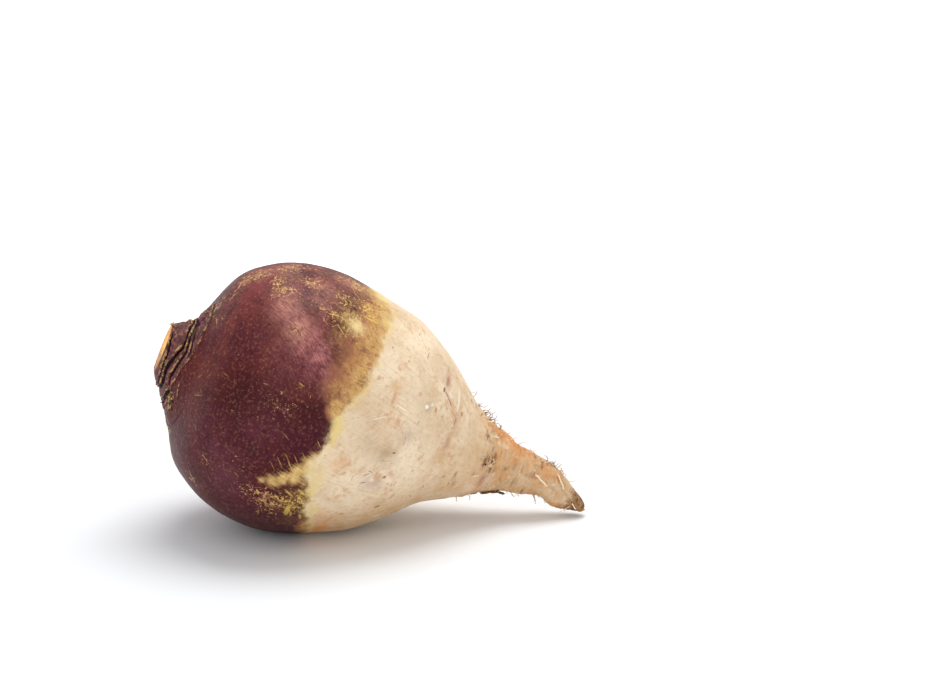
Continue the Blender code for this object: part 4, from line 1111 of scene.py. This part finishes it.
def crownRuns(grid):
    draw = random.Random(crownBits["seed"])
    runs = []
    for path, angle, count, length in crownBits["fibres"]:
        for _ in range(count):
            place, out, tipward = grid.at(path + draw.uniform(-0.6, 0.6), angle + draw.uniform(-7, 7))
            aim = out * draw.uniform(0.3, 1.0) + out.cross(tipward) * draw.uniform(-1.2, 1.2)
            aim -= tipward * draw.uniform(0, 0.8)
            reach = length / 1000 * draw.uniform(0.6, 1.2)
            fibre = curlyRun(draw, place - out * 0.0003, aim, reach, crownBits["fibreCurl"], 0.0004)
            runs.append((fibre, crownBits["fibreRadius"] * draw.uniform(0.7, 1.5), 0.3, draw.uniform(0.0, 0.8)))
    path, angle, length, radius = crownBits["spike"]
    place, out, tipward = grid.at(path, angle)
    runs.append((curlyRun(draw, place - out * 0.001, out - tipward * 0.2, length, 60), radius, 0.15, 1.4))
    return runs


crownPiece = tubePiece("crownFibres", crownRuns(skinGrid))
finishTubes(crownPiece, crownBits["pale"], crownBits["brown"])
print("crown fibres made")


scraps = {
    "seed": 41,
    # dried scraps and soil: path, angle, length along the root, width, thickness (mm), how far it stands out
    "lumps": [
        (178, -160, 5, 2.4, 0.7, 0.1), (182, -154, 4.2, 2, 0.6, 0.5), (174, -166, 3.6, 2, 0.6, 0),
        (185, -157, 2.6, 1.4, 0.5, 1), (172, -79, 1.6, 1.2, 0.5, 0), (168.5, -84, 1.2, 1, 0.4, 0),
        (13, -133, 1.3, 1.2, 0.7, 0.1), (11, -129, 1.2, 1, 0.7, 0.1), (14.6, -138, 1.1, 1, 0.6, 0.1),
        (170, 176, 2.6, 2, 0.6, 0), (190, 168, 2, 1.4, 0.5, 0), (216, -70, 0.9, 0.7, 0.3, 0),
    ],
    "roughness": 0.9,  # how far the lumps stray from plain ovals
    "dark": tone(62, 44, 34),
    "pale": tone(168, 134, 96),
}


def makeScraps(grid):
    draw = random.Random(scraps["seed"])
    bm = bmesh.new()
    for path, angle, length, width, thick, lift in scraps["lumps"]:
        place, out, tipward = grid.at(path, angle)
        roundward = out.cross(tipward)
        made = bmesh.ops.create_icosphere(bm, subdivisions=3, radius=0.5)
        seed = Vector([draw.uniform(0, 90) for _ in range(3)])
        for vertex in made["verts"]:
            at = vertex.co
            rough = 1 + scraps["roughness"] * noise.fractal(at * 3.0 + seed, 1.0, 2.0, 3)
            at = Vector((at.x * length, at.y * width, at.z * thick * 2)) * rough / 1000
            vertex.co = place + out * (lift / 1000) + tipward * at.x + roundward * at.y + out * at.z
    mesh = bpy.data.meshes.new("driedScraps")
    bm.to_mesh(mesh)
    bm.free()
    piece = standPiece("driedScraps", mesh)
    f = Finish("driedScraps", 0.85)
    clouds = f.noise(f.add("ShaderNodeTexCoord").outputs["Object"], 0.0008, 4, 0.65)
    f.set("Base Color", f.blend(f.between(clouds, 0.38, 0.66), scraps["dark"], scraps["pale"]))
    f.set("Specular IOR Level", 0.1)
    f.bump((clouds, 0.0002))
    piece.data.materials.append(f.material)


makeScraps(skinGrid)
print("dried scraps made")


studio = {
    "sky": 0.72,
    "floorRadius": 12.0,
    "floorTone": (0.885, 0.90, 0.92, 1.0),
    "shadowGround": (0.30, 0.75),  # between these distances the floor turns from lit to plain white
    "lights": {
        "top": {"at": (0.22, 0.30, 1.28), "size": 0.9, "power": 10.0},
        "front": {"at": (-0.7, -1.4, 0.6), "size": 1.2, "power": 2.6},
    },
    "lightAim": (0.02, 0.0, 0.05),
}


def makeFloor():
    bpy.ops.mesh.primitive_circle_add(vertices=96, radius=studio["floorRadius"], fill_type="NGON")
    floor = bpy.context.object
    floor.name = "floor"
    f = Finish("floorWhite", 0.9)
    f.set("Base Color", studio["floorTone"])
    f.set("Specular IOR Level", 0.0)
    place = f.add("ShaderNodeNewGeometry").outputs["Position"]
    distance = f.add("ShaderNodeVectorMath", {0: place}, operation="LENGTH").outputs["Value"]
    f.set("Emission Color", (1.0, 1.0, 1.0, 1.0))
    f.set("Emission Strength", f.between(distance, *studio["shadowGround"]))
    floor.data.materials.append(f.material)


def makeLight(name, at, size, power):
    light = bpy.data.lights.new(name, "AREA")
    light.shape = "DISK"
    light.size = size
    light.energy = power
    lamp = bpy.data.objects.new(name, light)
    lamp.location = at
    lamp.rotation_mode = "QUATERNION"
    lamp.rotation_quaternion = (Vector(studio["lightAim"]) - Vector(at)).to_track_quat("-Z", "Y")
    bpy.context.scene.collection.objects.link(lamp)


def makeStudio():
    makeFloor()
    world = bpy.data.worlds.new("studio")
    world.use_nodes = True
    sky = world.node_tree.nodes["Background"]
    sky.inputs["Color"].default_value = (1.0, 1.0, 1.0, 1.0)
    sky.inputs["Strength"].default_value = studio["sky"]
    bpy.context.scene.world = world
    for name, values in studio["lights"].items():
        makeLight(name + "Light", **values)


camera = {
    "place": (-0.1102, -0.9167, 0.2915),
    # the way it looks: swung round from straight along +Y, tipped down, and rolled
    "azimuth": -10.81,
    "elevation": 13.19,
    "roll": 0.965,
    "lens": 90.0,
}


def makeCamera():
    azimuth, elevation = math.radians(camera["azimuth"]), math.radians(camera["elevation"])
    level = math.cos(elevation)
    back = Vector((math.sin(azimuth) * level, -math.cos(azimuth) * level, math.sin(elevation)))
    data = bpy.data.cameras.new("camera")
    data.lens = camera["lens"]
    made = bpy.data.objects.new("camera", data)
    made.location = camera["place"]
    made.rotation_mode = "QUATERNION"
    made.rotation_quaternion = back.to_track_quat("Z", "Y") @ Quaternion((0, 0, 1), math.radians(camera["roll"]))
    bpy.context.scene.collection.objects.link(made)
    bpy.context.scene.camera = made


makeStudio()
makeCamera()
bpy.context.scene.view_settings.view_transform = "Standard"
print("studio ready")
